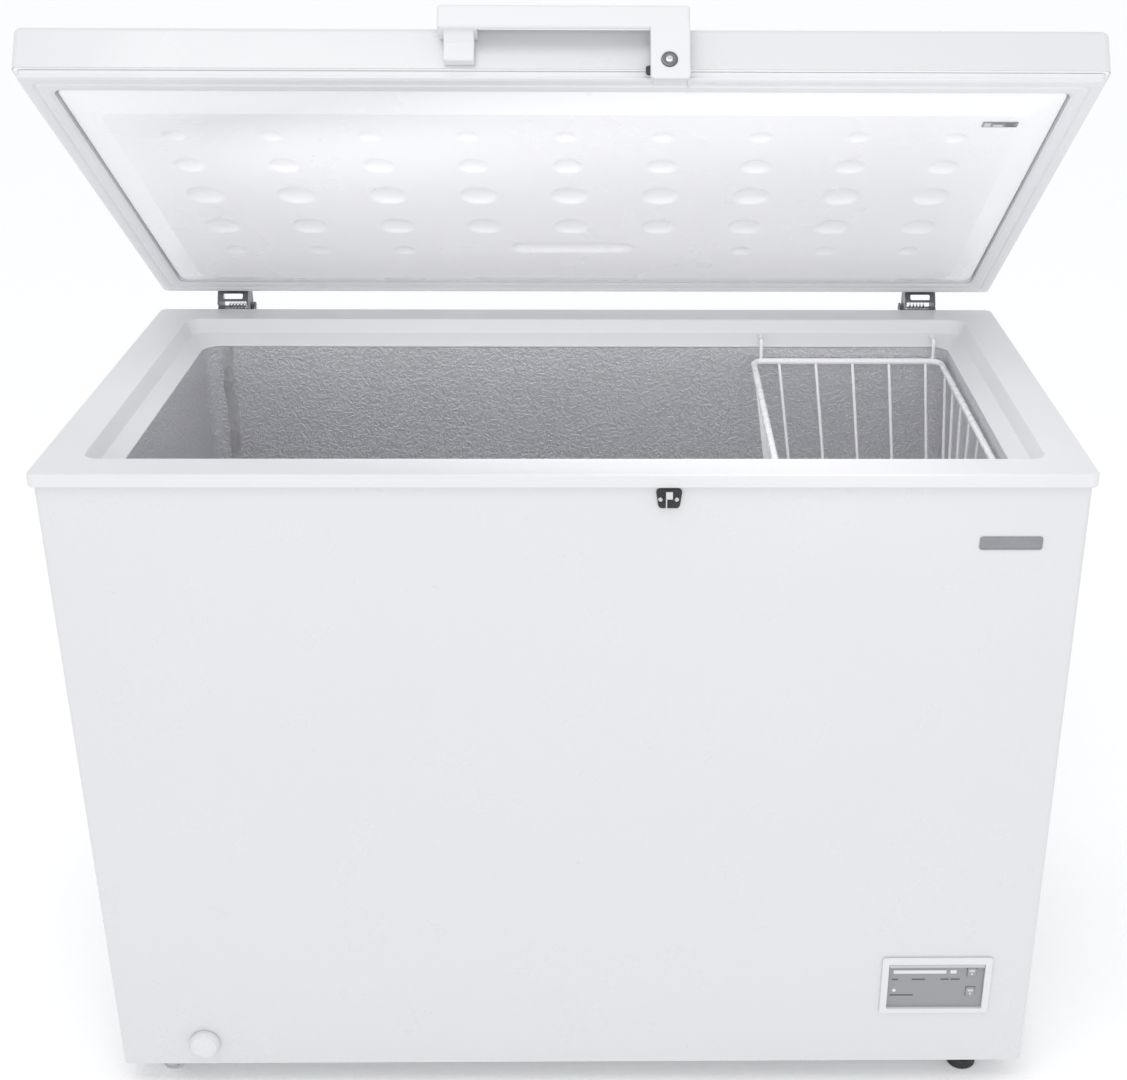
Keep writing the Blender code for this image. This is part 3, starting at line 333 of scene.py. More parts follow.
def outline_loop(inset, z, radius):
    """A rounded rectangle parallel to the cabinet's outline, at height z."""
    x, y = SIDE - inset, HALF_D - inset
    corners = [(x, y, 0), (-x, y, 0), (-x, -y, 0), (x, -y, 0)]
    shift = Vector((0, MIDDLE_Y, z))
    return [p + shift for p in filleted(corners, radius, 8, closed=True)]


def linked(name, data):
    made = bpy.data.objects.new(name, data)
    bpy.context.scene.collection.objects.link(made)
    return made


def mesh_object(name, bm, smooth=35, facing=None):
    """A mesh object with even shading; an open sheet says which way most of it faces."""
    bmesh.ops.recalc_face_normals(bm, faces=bm.faces)
    if facing and sum(f.normal.dot(facing) * f.calc_area() for f in bm.faces) < 0:
        bmesh.ops.reverse_faces(bm, faces=bm.faces)
    mesh = bpy.data.meshes.new(name)
    bm.to_mesh(mesh)
    bm.free()
    mesh.shade_smooth()
    mesh.set_sharp_from_angle(angle=math.radians(smooth))
    return linked(name, mesh)


def join_rows(bm, rows, around=False):
    """Faces between neighbouring rows of vertices, which may also close on themselves."""
    for one, two in zip(rows, rows[1:]):
        for i in range(len(one) if around else len(one) - 1):
            k = (i + 1) % len(one)
            corners = list(dict.fromkeys((one[i], one[k], two[k], two[i])))
            if len(corners) > 2:
                bm.faces.new(corners)


def sheet_rows(rows):
    """A bmesh of quads between rows of points, open at its edges."""
    bm = bmesh.new()
    join_rows(bm, [[bm.verts.new(p) for p in row] for row in rows])
    return bm


def loft(name, loops, ring=False, capped=(True, True), facing=None):
    """A skin through loops of equal length, capped at either end or closed into a ring."""
    bm = bmesh.new()
    rows = [[bm.verts.new(point) for point in loop] for loop in loops]
    if ring:
        rows.append(rows[0])
    else:
        for row, closed in zip((rows[0], rows[-1]), capped):
            if closed:
                bm.faces.new(row)
    join_rows(bm, rows, around=True)
    return mesh_object(name, bm, facing=facing)


def rounded(bm, edges, offset, segments):
    bmesh.ops.bevel(bm, geom=edges, offset=offset, segments=segments, profile=0.5, affect="EDGES")


def box(name, low, high, edge=0.0, segments=3):
    low, high = Vector(low), Vector(high)
    bm = bmesh.new()
    bmesh.ops.create_cube(bm, size=1)
    bmesh.ops.scale(bm, vec=high - low, verts=bm.verts)
    bmesh.ops.translate(bm, vec=(low + high) / 2, verts=bm.verts)
    if edge:
        rounded(bm, bm.edges[:], edge, segments)
    return mesh_object(name, bm)


def slab(name, outline, axis, low, high, edge=0.0, segments=2):
    """A flat outline in the two axes other than the one given, drawn out, with softened rims."""
    others = [i for i in range(3) if i != axis]
    bm = bmesh.new()
    corners = []
    for point in outline:
        place = [low, low, low]
        place[others[0]], place[others[1]] = point
        corners.append(bm.verts.new(place))
    face = bm.faces.new(corners)
    grown = bmesh.ops.extrude_face_region(bm, geom=[face])
    run = Vector((0, 0, 0))
    run[axis] = high - low
    moved = [v for v in grown["geom"] if isinstance(v, bmesh.types.BMVert)]
    bmesh.ops.translate(bm, vec=run, verts=moved)
    if edge:
        bmesh.ops.recalc_face_normals(bm, faces=bm.faces)
        rims = [e for e in bm.edges if abs(e.verts[0].co[axis] - e.verts[1].co[axis]) < 1e-7]
        rounded(bm, rims, edge, segments)
    return mesh_object(name, bm)


def rectangle(x, z, radius, steps=5):
    """A rounded rectangle's outline between two ranges."""
    corners = [(x[0], z[0]), (x[1], z[0]), (x[1], z[1]), (x[0], z[1])]
    return flat_fillet(corners, radius, steps, closed=True)


def spans(node, inset=0.0, axes=(0, 2)):
    """A CAD node's range along each of two axes, drawn in at both ends."""
    low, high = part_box(node)
    return [(low[i] + inset, high[i] - inset) for i in axes]


def standing(centre, axis):
    """Stands a piece that is drawn along Z at a centre, along an axis."""
    return Matrix.Translation(centre) @ Vector(axis).to_track_quat("Z", "Y").to_matrix().to_4x4()


def turned(name, profile, centre, axis, steps=48, ring=False, smooth=35):
    """A solid of revolution from (radius, height) points, its height along an axis vector."""
    place = standing(centre, axis)
    bm = bmesh.new()
    turns = [2 * math.pi * k / steps for k in range(steps)]
    rows = []
    for radius, height in profile:
        if radius < 1e-6:
            rows.append([bm.verts.new(place @ Vector((0, 0, height)))] * steps)
            continue
        circle = [Vector((radius * math.cos(a), radius * math.sin(a), height)) for a in turns]
        rows.append([bm.verts.new(place @ p) for p in circle])
    if ring:
        rows.append(rows[0])
    join_rows(bm, rows, around=True)
    return mesh_object(name, bm, smooth)


def drill(name, radius, reach, centre, axis, steps=32):
    """A plain round cutter that reaches equally far both ways from its centre."""
    profile = [(0, reach), (radius, reach), (radius, -reach), (0, -reach)]
    return turned(name, profile, centre, axis, steps)


def tube(name, points, radius, sides=12, closed=False):
    """A round wire through the points, made as a mesh with capped ends or closed into a ring."""
    curve = bpy.data.curves.new(name, "CURVE")
    curve.dimensions = "3D"
    curve.bevel_depth = radius
    curve.bevel_resolution = max(0, sides // 4 - 1)
    curve.use_fill_caps = True
    spline = curve.splines.new("POLY")
    spline.use_cyclic_u = closed
    spline.points.add(len(points) - 1)
    for point, place in zip(spline.points, points):
        point.co = (*place, 1)
    return baked(linked(name, curve), weld=True)


def baked(obj, weld=False):
    """Turns an object with modifiers, or a curve, into a plain mesh object of the same name."""
    bpy.context.view_layer.update()
    graph = bpy.context.evaluated_depsgraph_get()
    mesh = bpy.data.meshes.new_from_object(obj.evaluated_get(graph))
    bm = bmesh.new()
    bm.from_mesh(mesh)
    if weld:
        bmesh.ops.remove_doubles(bm, verts=bm.verts, dist=0.00002)
    name = obj.name
    bpy.data.objects.remove(obj, do_unlink=True)
    return mesh_object(name, bm)


def sheet_metal(obj, thickness, offset=-1.0):
    wall = obj.modifiers.new("wall", "SOLIDIFY")
    wall.thickness = thickness
    wall.offset = offset
    wall.use_even_offset = True
    return baked(obj)


def carved(obj, *tools, operation="DIFFERENCE"):
    """Cuts the tools from a piece, or adds them to it, and removes them."""
    for tool in tools:
        modifier = obj.modifiers.new(tool.name, "BOOLEAN")
        modifier.operation = operation
        modifier.solver = "EXACT"
        modifier.object = tool
    made = baked(obj)
    for tool in tools:
        bpy.data.objects.remove(tool, do_unlink=True)
    return made


def softened(obj, width, segments=2, angle=35):
    """Rounds the hard edges that cutting leaves."""
    modifier = obj.modifiers.new("edges", "BEVEL")
    modifier.width = width
    modifier.segments = segments
    modifier.limit_method = "ANGLE"
    modifier.angle_limit = math.radians(angle)
    modifier.use_clamp_overlap = True
    return baked(obj)


def merged(name, objects):
    """Several pieces of one material in a single object."""
    bm = bmesh.new()
    for obj in objects:
        bm.from_mesh(obj.data)
        bpy.data.objects.remove(obj, do_unlink=True)
    return mesh_object(name, bm)


def placed(obj, look, *nodes, body="cabinet", slot=None):
    """Gives a piece its look and body, and hides the CAD nodes that it stands for; the slot is not used."""
    if body in ("lid", "lock"):
        obj.data.transform(LID_TURN)
    obj.data.materials.clear()
    obj.data.materials.append(LOOKS[look])
    obj.modifiers.new("even_shading", "WEIGHTED_NORMAL").keep_sharp = True
    slot = slot or look
    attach(obj, body)
    if nodes:
        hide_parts(*nodes)
    return obj


def grid_lines(low, high, fine_spots, coarse, fine):
    """Grid positions from low to high, close together near the fine spots given as (centre, reach)."""
    lines, x = [low], low
    while x < high - 1e-9:
        near = any(abs(x - centre) < reach + 1e-6 for centre, reach in fine_spots)
        ahead = [centre - reach for centre, reach in fine_spots if centre - reach > x + 1e-9]
        step = fine if near else min([coarse] + [max(a - x, fine) for a in ahead])
        x = min(high, x + step)
        if high - x < fine / 2:
            x = high
        lines.append(x)
    return lines


def screw_head(name, centre, axis, radius):
    """A pan head with a cross slot."""
    h = radius * 0.55
    profile = [
        (0, h), (radius * 0.5, h * 0.95), (radius * 0.85, h * 0.65), (radius, h * 0.15), (radius, 0), (0, 0),
    ]
    head = turned(name, profile, centre, axis, 20)
    arm, half = radius * 0.6, radius * 0.11
    cross = []
    for a, b in ((arm, half), (half, arm)):
        tool = box(f"{name}_{a:.4f}", (-a, -b, h * 0.45), (a, b, h * 2))
        tool.data.transform(standing(centre, axis))
        cross.append(tool)
    return carved(head, *cross)


def screws(name, places, radius, body="cabinet"):
    """Screw heads in one object, all facing the rear."""
    heads = [screw_head(f"{name}_{i}", place, BACKWARD, radius) for i, place in enumerate(places)]
    placed(merged(name, heads), "bright_steel", body=body)


# ---- cabinet


def make_case():
    """Front and side sheet bent from one piece, with windows for the panel, the drain and the vent."""
    ring = flat_fillet([(SIDE, REAR), (SIDE, FRONT), (-SIDE, FRONT), (-SIDE, REAR)], 0.006, 10)
    levels = (CASE_BOTTOM, CASE_BOTTOM + 0.02, 0.4, CASE_TOP - 0.01, CASE_TOP)
    bm = sheet_rows([[(x, y, z) for x, y in ring] for z in levels])
    case = sheet_metal(mesh_object("case_sheet", bm, facing=FORWARD), SKIN)
    vent = rectangle(*spans("vent_grille", 0.01, (1, 2)), 0.004)
    panel = rectangle(*spans("control_housing", 0.005), 0.003)
    case = carved(
        case,
        slab("vent_cut", vent, 0, SIDE - CUT, SIDE + CUT),
        slab("panel_cut", panel, 1, FRONT - CUT, FRONT + CUT),
        drill("spout_cut", 0.0095, 0.02, DRAIN, FORWARD),
    )
    placed(case, "white_sheet", "outer_case")


RIBS_X = (-0.39, -0.23, -0.07, 0.09)
RIBS_Z = (0.130, 0.708)
RIB_HALF = 0.010
RIB_DEPTH = 0.0011
RIB_RUN_OUT = 0.018
MACHINE_SCREW_R = 0.0036


def make_back():
    """The rear sheet, pressed with shallow ribs, with its service opening and its screws."""
    low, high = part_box("back_panel")
    xs = grid_lines(low.x, high.x, [(x, RIB_HALF + 0.002) for x in RIBS_X], 0.05, 0.002)
    ends = [z + k * RIB_RUN_OUT / 3 for z in (RIBS_Z[0], RIBS_Z[1] - RIB_RUN_OUT) for k in range(4)]
    zs = sorted([low.z, low.z + 0.004, *ends, 0.4, high.z - 0.004, high.z])

    def sunk(x, z):
        end = max(0, min(1, (z - RIBS_Z[0]) / RIB_RUN_OUT, (RIBS_Z[1] - z) / RIB_RUN_OUT))
        rib = max(max(0, 1 - abs(x - middle) / RIB_HALF) for middle in RIBS_X)
        return RIB_DEPTH * math.sin(rib * math.pi / 2) * math.sin(end * math.pi / 2)

    bm = sheet_rows([[(x, high.y - sunk(x, z), z) for x in xs] for z in zs])
    sheet = sheet_metal(mesh_object("back_sheet", bm, facing=BACKWARD), SKIN)
    opening = rectangle(*spans("rear_cover", 0.015), 0.005)
    sheet = carved(sheet, slab("cover_cut", opening, 1, REAR - 2 * CUT, REAR + 2 * CUT))
    placed(sheet, "back_sheet", "back_panel")
    columns, rows = (-0.52, -0.31, 0.01, 0.24, 0.53), (high.z - 0.010, low.z + 0.010)
    screws("back_screws", [(x, REAR, z) for x in columns for z in rows], MACHINE_SCREW_R)


def make_collar():
    """The moulded rim, from its rolled outer edge over the seat and down to the tank's mouth."""
    depth, height = RIM_Z - COLLAR_LOW.z, RIM_Z - CASE_TOP - GAP
    inner = SKIN + 2 * GAP
    section = flat_fillet([
        (-OVER, 0.0), (0.040, 0.0), (0.048, -0.016), (0.065, -0.027), (0.065, -depth),
        (inner, -depth), (inner, -height), (-OVER, -height),
    ], 0.0018, 4, closed=True)
    radii = [0.008 + 0.014 * min(1, (inset + OVER) / 0.07) for inset, _ in section]
    loops = [outline_loop(inset, RIM_Z + z, r) for (inset, z), r in zip(section, radii)]
    placed(loft("collar_moulding", loops, ring=True), "white_plastic", "top_collar")


TANK_RADIUS = 0.022
STEP_X = 0.240
STEP_Z = 0.350
SEAM_SECTION = ((-0.002, 0.0001), (0.001, 0.0012), (0.005, 0.0016), (0.009, 0.0012), (0.012, 0.0001))
SEAM_STEPS = 60


def make_tank():
    """The tank's sheet with rounded corners and a taped seam up its rear left corner."""
    side, floor, top = TANK_HIGH.x - SKIN, TANK_LOW.z + SKIN, TANK_HIGH.z
    front, rear = TANK_LOW.y + SKIN, TANK_HIGH.y - SKIN
    above = top + 0.1
    outline = [
        (-side, floor), (STEP_X, floor), (STEP_X, STEP_Z), (side, STEP_Z), (side, above), (-side, above),
    ]
    block = slab("tank_block", outline, 1, front, rear)
    bm = bmesh.new()
    bm.from_mesh(block.data)
    bpy.data.objects.remove(block, do_unlink=True)
    rounded(bm, bm.edges[:], TANK_RADIUS, 8)
    whole = bm.verts[:] + bm.edges[:] + bm.faces[:]
    bmesh.ops.bisect_plane(bm, geom=whole, plane_co=(0, 0, top), plane_no=(0, 0, 1), clear_outer=True)
    tank = sheet_metal(mesh_object("tank_sheet", bm, 40), SKIN, 1.0)
    tank = carved(tank, drill("plug_cut", 0.0088, 0.02, (DRAIN.x, PLUG_Y, TANK_LOW.z), UPWARD))
    placed(tank, "tank_metal", "inner_tank")
    rows = []
    for k in range(SEAM_STEPS + 1):
        z = TANK_LOW.z + 0.06 + (TANK_HIGH.z - TANK_LOW.z - 0.062) * k / SEAM_STEPS
        wobble = 0.0012 * math.sin(k * 1.7) + 0.0009 * math.sin(k * 0.63 + 1)
        x = -side + TANK_RADIUS
        rows.append([(x + dx + wobble, rear - out, z) for dx, out in SEAM_SECTION])
    placed(mesh_object("tank_seam", sheet_rows(rows), facing=FORWARD), "seam", slot="tank_metal")


# ---- machinery bay


def slot_cutters(name, axis, depth, across, along, count, fill):
    """Rounded slots cut along one axis, spread over a range."""
    pitch = (along[1] - along[0]) / count
    tools = []
    for k in range(count):
        middle, half = along[0] + (k + 0.5) * pitch, pitch * fill / 2
        outline = rectangle(across, (middle - half, middle + half), half * 0.96, 4)
        tools.append(slab(f"{name}_{k}", outline, axis, *depth))
    return tools


def make_covers():
    low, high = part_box("vent_grille")
    across, along = spans("vent_grille", 0.014, (1, 2))
    outline = rectangle(*spans("vent_grille", axes=(1, 2)), 0.005)
    grille = slab("grille_moulding", outline, 0, low.x, high.x, 0.0011, 3)
    grille = carved(grille, *slot_cutters("grille", 0, (low.x - CUT, high.x + CUT), across, along, 9, 0.5))
    placed(softened(grille, 0.0005), "grille_plastic", "vent_grille")

    low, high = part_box("rear_cover")
    frame = 0.030
    across, along = (low.x + frame, GLAND.x - frame), (low.z + frame, high.z - frame)
    cover = slab("cover_sheet", rectangle(*spans("rear_cover"), 0.008), 1, low.y, high.y, 0.0005)
    cover = carved(
        cover, drill("gland_cut", 0.0085, 0.02, GLAND, BACKWARD),
        *slot_cutters("cover", 1, (low.y - CUT, high.y + CUT), across, along, 9, 0.4),
    )
    placed(cover, "galvanised_steel", "rear_cover")
    columns, rows = spans("rear_cover", 0.010)
    screws("cover_screws", [(x, high.y, z) for x in columns for z in rows], MACHINE_SCREW_R)
    profile = flat_fillet([
        (0.0035, 0.016), (0.006, 0.016), (0.0085, 0.005), (0.0115, 0.005), (0.0115, 0.0022),
        (0.0081, 0.0022), (0.0081, -0.008), (0.0035, -0.008),
    ], 0.0006, 3, closed=True)
    placed(turned("gland_sleeve", profile, GLAND, BACKWARD, 32, ring=True), "black_rubber", "cord_gland")


def make_compressor():
    low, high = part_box("compressor_shell")
    bead = 0.003
    r, tall = (high.x - low.x) / 2 - bead, high.z - low.z
    profile = [
        (0, tall), (r * 0.25, 0.1493), (r * 0.45, 0.146), (r * 0.64, 0.1403), (r * 0.8, 0.132),
        (r * 0.91, 0.121), (r * 0.97, 0.108), (r, 0.092), (r, 0.079), (r + bead, 0.0785),
        (r + bead, 0.0745), (r, 0.074), (r, 0.040), (r * 0.985, 0.030), (r * 0.95, 0.020),
        (r * 0.88, 0.012), (r * 0.78, 0.006), (r * 0.6, 0), (0, 0),
    ]
    place = ((low.x + high.x) / 2, (low.y + high.y) / 2, low.z)
    shell = turned("compressor_dome", profile, place, UPWARD, 64, smooth=50)
    placed(shell, "black_steel", "compressor_shell")


# ---- front fittings

DRAIN = Vector((-0.441, FRONT, 0.0665))
PLUG_Y = FRONT + 0.120
GLAND = Vector((0.490, REAR, 0.250))
LEDGE = 0.0044


def make_drain():
    profile = flat_fillet([
        (0, 0.0130), (0.011, 0.0124), (0.0152, 0.0104), (0.0178, 0.0060), (0.0180, 0.0005),
        (0.0088, 0.0005), (0.0088, 0.0070), (0, 0.0070),
    ], 0.0012, 4)
    cap = turned("drain_dome", profile, DRAIN, FORWARD, 64, smooth=40)
    placed(cap, "white_plastic", "drain_cap", body="drain_cap")
    low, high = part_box("drain_spout")
    r, bore = (high.x - low.x) / 2, 0.006
    profile = [(bore, 0.0065), (r - 0.0004, 0.0065), (r, 0.0060), (r, -0.042), (bore, -0.042)]
    spout = turned("drain_sleeve", profile, DRAIN, FORWARD, 40, ring=True)
    placed(spout, "white_plastic", "drain_spout", body="drain_spout")
    profile = flat_fillet([
        (0, 0.012), (0.004, 0.012), (0.005, 0.005), (0.014, 0.004), (0.014, GAP), (0.0072, GAP),
        (0.0070, -0.014), (0, -0.014),
    ], 0.0008, 3)
    plug = turned("drain_stopper", profile, (DRAIN.x, PLUG_Y, TANK_LOW.z + SKIN), UPWARD, 40)
    placed(plug, "grey_plastic", "drain_plug", body="drain_plug")


def front_block(name, x, z, y, radius, edge=0, segments=3):
    """A rounded plate on the front, from y[0] (outer) to y[1]."""
    return slab(name, rectangle(x, z, radius, 6), 1, *y, edge, segments)


MARK_HALF = 0.0009
MARKS = (  # left, right and height of each dash on the film
    (0.3768, 0.3845, 0.155), (0.4005, 0.4165, 0.155), (0.4345, 0.4445, 0.155), (0.4465, 0.4575, 0.155),
    (0.3760, 0.4035, 0.1320),
)
LAMP_SQUARE_X = (0.4455, 0.4530)
LAMP_DOT = (0.3805, 0.139)
BUTTONS = ("button_upper", "button_lower")


def make_panel():
    """The control panel: a soft surround, a sunk film with its ledge, lamp, marks and buttons."""
    low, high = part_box("control_housing")
    surround = front_block(
        "panel_surround", *spans("control_housing"), (low.y, FRONT - GAP), 0.004, 0.0011, 4,
    )
    tub = front_block("panel_tub", *spans("control_housing", 0.0055), (FRONT - 0.0015, high.y), 0.002)
    surround = carved(surround, tub, operation="UNION")
    pocket = front_block(
        "panel_pocket", *spans("control_fascia", -GAP), (FRONT - 0.02, high.y - 0.002), 0.0015,
    )
    placed(softened(carved(surround, pocket), 0.0006, 3, 50), "white_plastic", "control_housing")

    film = FASCIA_LOW.y
    holes = [
        front_block(f"{node}_cut", *spans(node, -GAP), (film - CUT, film + CUT), 0.0012)
        for node in (*BUTTONS, "indicator_light")
    ]
    x, z = spans("control_fascia")
    fascia = carved(front_block("panel_film", x, z, (film, FASCIA_HIGH.y), 0.0015, 0.0003), *holes)
    placed(fascia, "fascia", "control_fascia", slot="grey_plastic")
    side = 0.0002
    ledge_x, ledge_z = (x[0] + side, x[1] - side), (z[1] - LEDGE, z[1] - side)
    ledge = front_block("panel_ledge", ledge_x, ledge_z, (film - 0.0034, film), 0.0006, 0.0005)
    placed(ledge, "fascia_rim", slot="grey_plastic")

    low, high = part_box("indicator_light")
    x, z = spans("indicator_light")
    bar = front_block("lamp_bar", x, z, (low.y, high.y), 0.001, 0.0003)
    placed(bar, "lamp_plastic", "indicator_light")
    square = front_block("lamp_square", LAMP_SQUARE_X, z, (film - 0.0005, film + 0.0005), 0.001, 0.0003)
    placed(square, "lamp_plastic")
    depth = (film - 0.00025, film + 0.0003)
    marks = [
        front_block(f"mark_{i}", (left, right), (level - MARK_HALF, level + MARK_HALF), depth, 0.0006)
        for i, (left, right, level) in enumerate(MARKS)
    ]
    placed(merged("panel_marks", marks), "print_dark", slot="grey_plastic")
    profile = [(0, 0.0012), (0.0016, 0.0010), (0.0023, 0.0002), (0.0023, -0.0005), (0, -0.0005)]
    dot = turned("lamp_dot", profile, (LAMP_DOT[0], film, LAMP_DOT[1]), FORWARD, 32)
    placed(dot, "lamp_plastic")

    for name in BUTTONS:
        low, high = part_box(name)
        key = front_block(f"{name}_key", *spans(name), (low.y + 0.0001, high.y), 0.0022, 0.0009, 4)
        placed(key, "button_plastic", name, body=name)
        x, z = (low.x + high.x) / 2, (low.z + high.z) / 2
        icons = [
            front_block(f"{name}_mark_{i}", (x - half, x + half), span, (low.y, low.y + 0.0006), 0.0008)
            for i, (half, span) in enumerate((
                (0.0032, (z + 0.0006, z + 0.0036)), (0.0012, (z - 0.0040, z - 0.0010)),
            ))
        ]
        placed(merged(f"{name}_marks", icons), "print_light", body=name, slot="button_plastic")


def make_keeper():
    """The lock's keeper: a plate with two screws, and a stepped tongue that the cam turns behind."""
    low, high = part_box("keeper_plate")
    taper = 0.0031
    outline = flat_fillet([
        (low.x, high.z), (high.x, high.z), (high.x - taper, low.z), (low.x + taper, low.z),
    ], 0.004, 8, closed=True)
    plate = slab("keeper_moulding", outline, 1, low.y, high.y, 0.0008, 3)
    placed(plate, "black_plastic", "keeper_plate")
    for side in ("left", "right"):
        node = f"keeper_screw_{side}"
        s_low, s_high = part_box(node)
        centre = ((s_low.x + s_high.x) / 2, low.y - GAP, (s_low.z + s_high.z) / 2)
        head = screw_head(f"keeper_head_{side}", centre, FORWARD, (s_high.x - s_low.x) / 2)
        placed(head, "bright_steel", node)
    low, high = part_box("keeper_tongue")
    tab_low, tab_high = (low.x, low.y, high.z - 0.008), (high.x, low.y + 0.0015, high.z)
    tab = box("tongue_tab", tab_low, tab_high, 0.0004, 2)
    web = box("tongue_web", low, (low.x + 0.0013, high.y, high.z - 0.0066), 0.0003, 2)
    placed(merged("tongue_bracket", [tab, web]), "bright_steel", "keeper_tongue")


def make_badge():
    low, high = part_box("badge_plate")
    plate = front_block("badge_shield", *spans("badge_plate"), (low.y, high.y), 0.003, 0.0004, 3)
    sunk = front_block("badge_sunk", *spans("badge_plate", 0.0016), (low.y - CUT, low.y + 0.0002), 0.002)
    placed(carved(plate, sunk), "badge_metal", "badge_plate")


# ---- feet


def make_feet():
    for place in ("front", "rear"):
        low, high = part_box(f"roller_{place}")
        r, half = (high.z - low.z) / 2, (high.y - low.y) / 2
        side = [(0, half), (0.003, half), (0.003, 0.0105), (0.0088, 0.0092), (0.0112, 0.0115), (r, 0.0100)]
        wheel = flat_fillet(side + [(radius, -y) for radius, y in reversed(side)], 0.0009, 4)
        roller = turned(f"wheel_{place}", wheel, (low + high) / 2, FORWARD, 56, smooth=30)
        placed(roller, "roller_plastic", f"roller_{place}", body=f"roller_{place}", slot="grey_plastic")

        low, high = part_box(f"levelling_foot_{place}")
        thread = [(0, 0.050)]
        count = 24
        for k in range(count):
            z = 0.0488 - 0.0375 * k / count
            thread += [(0.0036, z), (0.0040, z - 0.0006)]
        pad = [(0.004, 0.0112), (0.0145, 0.0105), (0.0175, 0.004), (0.0175, 0.0), (0, 0)]
        centre = ((low.x + high.x) / 2, (low.y + high.y) / 2, 0)
        foot = turned(f"glide_{place}", thread + flat_fillet(pad, 0.0012, 4), centre, UPWARD, 48)
        placed(foot, "black_plastic", f"levelling_foot_{place}", body=f"foot_{place}")


# ---- lid


def make_lid_skin():
    """The lid's outer pan: an eased top edge, faintly crowned."""
    section = [(-OVER, BAND_BASE), (-OVER, LID_H - 0.0004), (0.060, LID_H)]
    loops = [
        outline_loop(inset, RIM_Z + z, max(0.003, LID_RADIUS - inset * 0.02))
        for inset, z in flat_fillet(section, LID_RADIUS, 8)
    ]
    pan = loft("lid_pan", loops, capped=(False, True), facing=UPWARD)
    placed(sheet_metal(pan, SKIN), "white_sheet", "lid_skin", body="lid")


def liner_hollow(x, y):
    """How far the liner is drawn up into the lid at a point: round dimples and one long groove."""
    v = LID_REAR - y
    deepest = 0.0
    for row_v, radius in DIMPLE_ROWS:
        for k in range(DIMPLE_COLUMNS):
            if row_v < PILL_ROW_V and 2 < k < 6:
                continue
            away = math.hypot(x - dimple_x(k), v - row_v) / radius
            if away < 1:
                deepest = max(deepest, DIMPLE_DEPTH * radius * (1 - away * away) ** 0.65)
    px = min(max(x, PILL_X[0] + PILL_R), PILL_X[1] - PILL_R)
    away = math.hypot(x - px, v - PILL_V) / PILL_R
    if away < 1:
        deepest = max(deepest, PILL_DEPTH * (1 - away * away) ** 0.8)
    return deepest


def dimple_x(column):
    return (column - DIMPLE_COLUMNS // 2) * DIMPLE_PITCH - DIMPLE_SHIFT


def make_lid_foam():
    """The lid's core, kept clear of the liner's hollows."""
    inside = -OVER + SKIN + GAP
    core = (
        (0.0800, 0.0006, 0.012), (0.0640, 0.0006, 0.012), (0.0320, 0.0072, 0.010),
        (0.0316, 0.0117, 0.010), (inside, 0.0117, 0.006), (inside, LID_H - 0.0068, 0.006),
        (0.0025, LID_H - SKIN - GAP - 0.0004, 0.006),
    )
    loops = [outline_loop(inset, RIM_Z + z, radius) for inset, z, radius in core]
    placed(loft("lid_core", loops), "foam", "lid_foam", body="lid")


def make_liner():
    """The drawn liner: its rim under the seal, the slope and the dimpled field, in one sheet."""
    field = 0.080
    half_x, half_y = SIDE - field, HALF_D - field
    spots_x = [(dimple_x(k), 0.022) for k in range(DIMPLE_COLUMNS)] + [(0, 0.078)]
    spots_y = [(LID_REAR - v - MIDDLE_Y, r + 0.001) for v, r in (*DIMPLE_ROWS, (PILL_V, PILL_R))]
    xs = grid_lines(-half_x, half_x, spots_x, 0.03, 0.0025)
    ys = grid_lines(-half_y, half_y, sorted(spots_y), 0.03, 0.0025)
    steps = 6

    def ring(inset, z, radius):
        x, y = SIDE - inset - radius, HALF_D - inset - radius
        across = [v * x / half_x for v in xs[1:-1]]
        along = [v * y / half_y for v in ys[1:-1]]
        sides = (
            [(v, y + radius) for v in reversed(across)], [(-x - radius, v) for v in reversed(along)],
            [(v, -y - radius) for v in across], [(x + radius, v) for v in along],
        )
        out = []
        for first, (sx, sy) in enumerate(((1, 1), (-1, 1), (-1, -1), (1, -1))):
            for k in range(steps + 1):
                a = math.pi / 2 * (first + k / steps)
                out.append((sx * x + radius * math.cos(a), sy * y + radius * math.sin(a)))
            out += sides[first]
        return [(px, py + MIDDLE_Y, RIM_Z + z) for px, py in out]

    section = flat_fillet([
        (-0.0037, 0.0093), (0.0288, 0.0093), (0.0292, 0.0045), (0.064, LINER_FLAT), (field, LINER_FLAT),
    ], 0.0022, 5)
    radii = [0.006 + 0.006 * min(1, max(0, inset / 0.03)) for inset, _ in section]
    radii[-1] = 0.0
    bm = bmesh.new()
    rows = [[bm.verts.new(p) for p in ring(i, z, r)] for (i, z), r in zip(section, radii)]
    join_rows(bm, rows, around=True)
    flat = RIM_Z + LINER_FLAT
    grid = []
    for y in (v + MIDDLE_Y for v in ys):
        grid.append([bm.verts.new((x, y, flat + liner_hollow(x, y))) for x in xs])
    join_rows(bm, grid)
    bmesh.ops.remove_doubles(bm, verts=bm.verts, dist=0.00001)
    liner = mesh_object("liner_moulding", bm, 45, facing=-UPWARD)
    placed(sheet_metal(liner, SKIN), "liner", "lid_liner", body="lid", slot="white_plastic")


